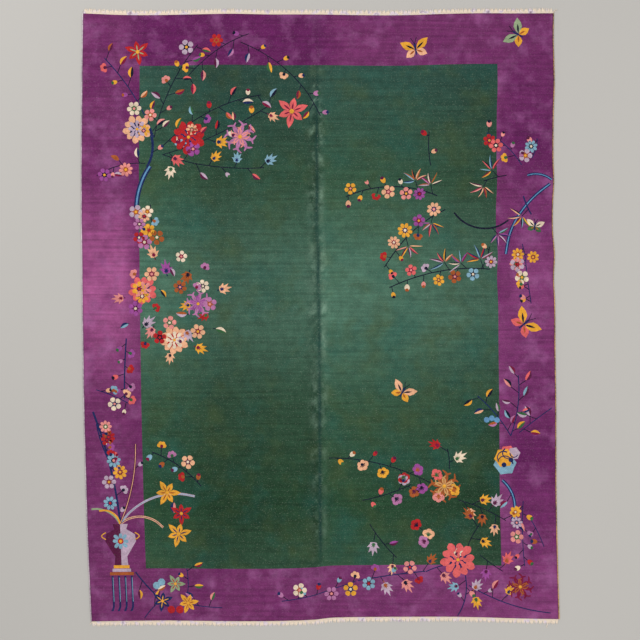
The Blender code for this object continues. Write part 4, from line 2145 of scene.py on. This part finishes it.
def composition() -> dict[str, list]:
    """The whole design, spray by spray, each grown from a few roots placed for balance.

    Returns:
        The motifs of each spray, by its name.
    """
    navy, blue = Dye.NAVY, Dye.BLUE
    tree = Gardener(3).grow(
        Branch(-105, 60, 95, 30, -40, "", 2.8, navy, blue),
        Branch(-99, 88, 60, 25, 60, "bo", 1.4, navy),
        Branch(-95, 105, 110, 55, 25, "lblolblblsl", 0.6, navy),
        Branch(-95, 105, 80, 60, -30, "lobllslblol"),
        Branch(-90, 100, 45, 65, -35, "mlolsblllbl"), Branch(-90, 95, 15, 70, 20, "mlolmlbllbml"),
        Branch(-40, 165, 200, 45, 30, "blolblsl"), Branch(-45, 160, -20, 65, -45, "lblbsblblb"),
        Branch(-90, 95, -20, 60, 25, "mmlmbmlm"), Branch(-100, 90, 175, 30, 40, "lolblo"),
    )
    tree.full_flower(-75, 105, 9.5, Dye.RED, Dye.RED, navy)
    tree.full_flower(-105, 110, 8, Dye.PEACH, Dye.LILAC, navy)
    tree.shaggy_flower(-45, 105, 9.5, Dye.MAUVE, Dye.PINK).lily(-15, 120, 10, Dye.CORAL, Dye.WINE, 20)
    tree.lily(-105, 155, 8, Dye.RED, Dye.SAGE, 40)
    hanging = Gardener(5, (1.5, 3.0)).grow(
        Branch(-104, 66, -75, 22, -20, "ooosoo"), Branch(-97, 66, -90, 20, 15, "osoo"),
    )
    wreath = Gardener(8, (0.5, 2.0))
    wreath.wreath(-85, 8, 25, "omosmolmosomolmsomsmolm").wreath(-85, 8, 14, "msomlosmoml")
    wreath.full_flower(-102, 16, 8, Dye.CORAL, Dye.PINK, navy)
    wreath.full_flower(-84, -13, 8, Dye.PEACH, Dye.CREAM, Dye.RED)
    wreath.shaggy_flower(-70, 8, 8, Dye.MAUVE, Dye.VIOLET)
    bush = Gardener(13).grow(
        Branch(-112, -12, -95, 35, 5, "bsbsbsbs", 0.8, navy),
        Branch(-130, -42, -15, 20, -15, "bsosb", 0.5, navy),
        Branch(-118, -118, 95, 65, 15, "bosobosbosos", 1.2, navy),
        Branch(-120, -90, 120, 30, -20, "bosbob", 0.7, navy),
        Branch(-70, -98, 130, 35, 30, "bsobsbsb", 0.6),
    )
    lilies = Gardener(21).lily(-90, -102, 8, Dye.GOLD, Dye.RUST).lily(-82, -114, 7, Dye.RED, navy, 30)
    lilies.lily(-84, -126, 8, Dye.GOLD, navy, 15).grow(
        Branch(-118, -120, 65, 48, 25, "b", 1.3, Dye.PLUM, Dye.PEACH),
        Branch(-118, -120, 55, 50, -70, "l", 1.3, Dye.LILAC, Dye.SKY),
        Branch(-118, -120, 40, 28, -90, "", 1.2, Dye.PEACH, Dye.NAVY),
        Branch(-118, -120, 115, 20, 75, "", 1.1, Dye.SAGE),
        Branch(-118, -120, 100, 16, 95, "", 1.1, Dye.GOLD),
    )
    still_life = Gardener(34).grow(
        Branch(-110, -148, -55, 18, 10, "ll", 0.8, navy),
        Branch(-96, -165, 215, 14, 20, "ll", 0.5, navy),
        Branch(-80, -160, 80, 14, 20, "lbl", 0.5, navy),
        Branch(-78, -167, -10, 18, 10, "lll", 0.5, navy),
    )
    still_life.lily(-87, -155, 6, Dye.SAGE, Dye.RED).lily(-95, -165, 6.5, navy, Dye.GOLD, 20)
    still_life.lily(-80, -166, 6.5, Dye.GOLD, Dye.RUST, 10).motifs += [
        Lobes(1, 2.3, Dye.RED, ((-90, -170), (-85, -170))),
        Lobes(1, 2.2, Dye.SKY, ((-98, -156), (-95, -154))),
    ]
    vine = Gardener(55).grow(
        Branch(-25, -165, 5, 45, 15, "bsobobos", 0.5, navy), Branch(28, -122, -60, 25, 15, "mlm"),
        Branch(20, -155, 10, 40, -5, "osmbmosm", 0.6, navy),
        Branch(60, -150, 25, 20, -20, "mm", 0.6, navy),
        Branch(83, -152, -80, 25, -45, "mbmbmb", 0.6, navy),
        Branch(85, -158, -30, 50, 25, "mblmmmlmm", 0.6, navy),
        Branch(85, -135, 70, 15, -20, "mm"), Branch(92, -140, -40, 16, 10, "mm"),
    )
    vine.full_flower(79, -143, 10, Dye.CORAL, Dye.CORAL, navy)
    vine.shaggy_flower(115, -158, 8, Dye.WINE, Dye.RUST)
    vine.wreath(62, -131, 3.5, "ppp")
    pansies = Gardener(89).grow(
        Branch(5, -83, 0, 75, -35, "bbpbpbpppppp"), Branch(24, -108, 10, 30, 15, "bbppp"),
        Branch(75, -90, 85, 12, 20, "mm"), Branch(80, -108, -15, 30, -15, "mmmmmm"),
        Branch(118, -108, -95, 38, 10, "obobobbbb", 0.5, navy),
        Branch(122, -118, -60, 18, -10, "bb", 0.5, navy),
    )
    pansies.shaggy_flower(72, -100, 9.5, Dye.RUST, Dye.TAN)
    bamboo = Gardener(144).grow(
        Branch(70, 70, 155, 55, 50, "fofobobsbbob", 0.6), Branch(66, 88, 100, 20, -15, "bb"),
        Branch(75, 62, 205, 50, 35, "ofosofobsb", 0.6),
        Branch(100, 27, 175, 60, 30, "fofofosbobsb", 0.6),
        Branch(80, 60, -55, 36, 95, "f", 1.0),
        Branch(110, 82, 190, 14, 10, "ff"),
        Branch(95, 27, 60, 14, 20, "ob"),
    )
    border_tree = Gardener(233).grow(
        Branch(109, 36, 80, 50, -45, "", 1.9, navy, blue),
        Branch(122, 82, 20, 15, -60, "f", 1.6, navy, blue),
        Branch(119, 88, 120, 28, 35, "bsbobob", 0.5, navy),
        Branch(125, 92, 60, 12, 30, "obo", 0.5, navy),
        Branch(120, 70, -70, 12, 10, "f", 0.8, navy),
        Branch(119, 42, -80, 35, -5, "ooooobbsbb", 0.5, navy),
    )
    rocks = Gardener(377).grow(
        Branch(111, -70, 70, 36, 25, "llllllll", 0.6, navy),
        Branch(111, -70, 120, 30, 20, "llllll", 0.6, navy),
        Branch(116, -68, 40, 24, -5, "lllll", 0.5, navy),
        Branch(106, -96, -40, 26, -75, "ll", 2.0, navy, blue),
    )
    rocks.motifs += [Lobes(1, 1.7, blue, ((97, -61), (100, -60), (103, -61))), *GardenRock().motifs()]
    insects = Gardener(610).butterfly(57, 156, 10, 100, Dye.GOLD, Dye.PEACH)
    insects.butterfly(117, 164, 10, 150, Dye.SAGE, Dye.GOLD)
    insects.butterfly(127, 52, 6.5, 80, Dye.CREAM, Dye.GREEN)
    insects.butterfly(119, -5, 11, 40, Dye.GOLD, Dye.CORAL).butterfly(48, -45, 9, 60, Dye.PEACH, Dye.GOLD)
    grown = {
        "spray_blossom_tree": tree, "spray_hanging_blossoms": hanging, "spray_wreath": wreath,
        "spray_plum_bush": bush, "spray_vase_lilies": lilies, "spray_still_life": still_life,
        "spray_bottom_vine": vine, "spray_pansies": pansies, "spray_bamboo": bamboo,
        "spray_border_tree": border_tree, "spray_rock_garden": rocks, "butterflies": insects,
    }
    design = {name: gardener.motifs for name, gardener in grown.items()}
    design["vase_on_stand"] = VaseOnStand().motifs()
    return design


CORDS = {
    Side.LEFT: CordYarn("cotton_yarn_lilac_overcast", "#d8c8cf", "#8d7288"),
    Side.RIGHT: CordYarn("wool_yarn_gold_overcast", "#d2a468", "#5c4030"),
}


def own_node(piece: bpy.types.Object, slot: str, *nodes: str) -> None:
    """Ties a piece to the carpet's body, and hides the plain solids it stands for.

    Args:
        piece: The piece.
        slot: The name of its material slot; not used.
        nodes: The plain solids it stands for.
    """
    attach(piece, "root")
    if nodes:
        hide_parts(*nodes)


def main() -> None:
    """Makes every piece of the carpet, then the studio round it."""
    logging.basicConfig(level=logging.INFO, format="%(message)s")
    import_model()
    bpy.context.scene.view_settings.view_transform = "Standard"
    lie = Lie()
    ground = GroundPile(lie).make()
    own_node(ground, "wool_pile", "rug_body")
    for side, yarn in CORDS.items():
        cord = SideCord(lie, side, yarn).make()
        slot = "side_cord_lilac" if side is Side.LEFT else "side_cord_gold"
        own_node(cord, slot, f"selvedge_{side.name.lower()}")
    cotton = WarpCotton().material()
    for end in End:
        fringe = Fringe(lie, end).make(cotton)
        own_node(fringe, "fringe_cotton", f"fringe_{end.name.lower()}")
    wools = WoolRange()
    for name, motifs in composition().items():
        spray = Spray(name, lie)
        for motif in motifs:
            motif.draw(spray)
        piece = spray.make(wools)
        own_node(piece, "design_wool")
    studio = Studio()
    studio.floor()
    studio.light()
    studio.camera()


if __name__ == "__main__":
    main()
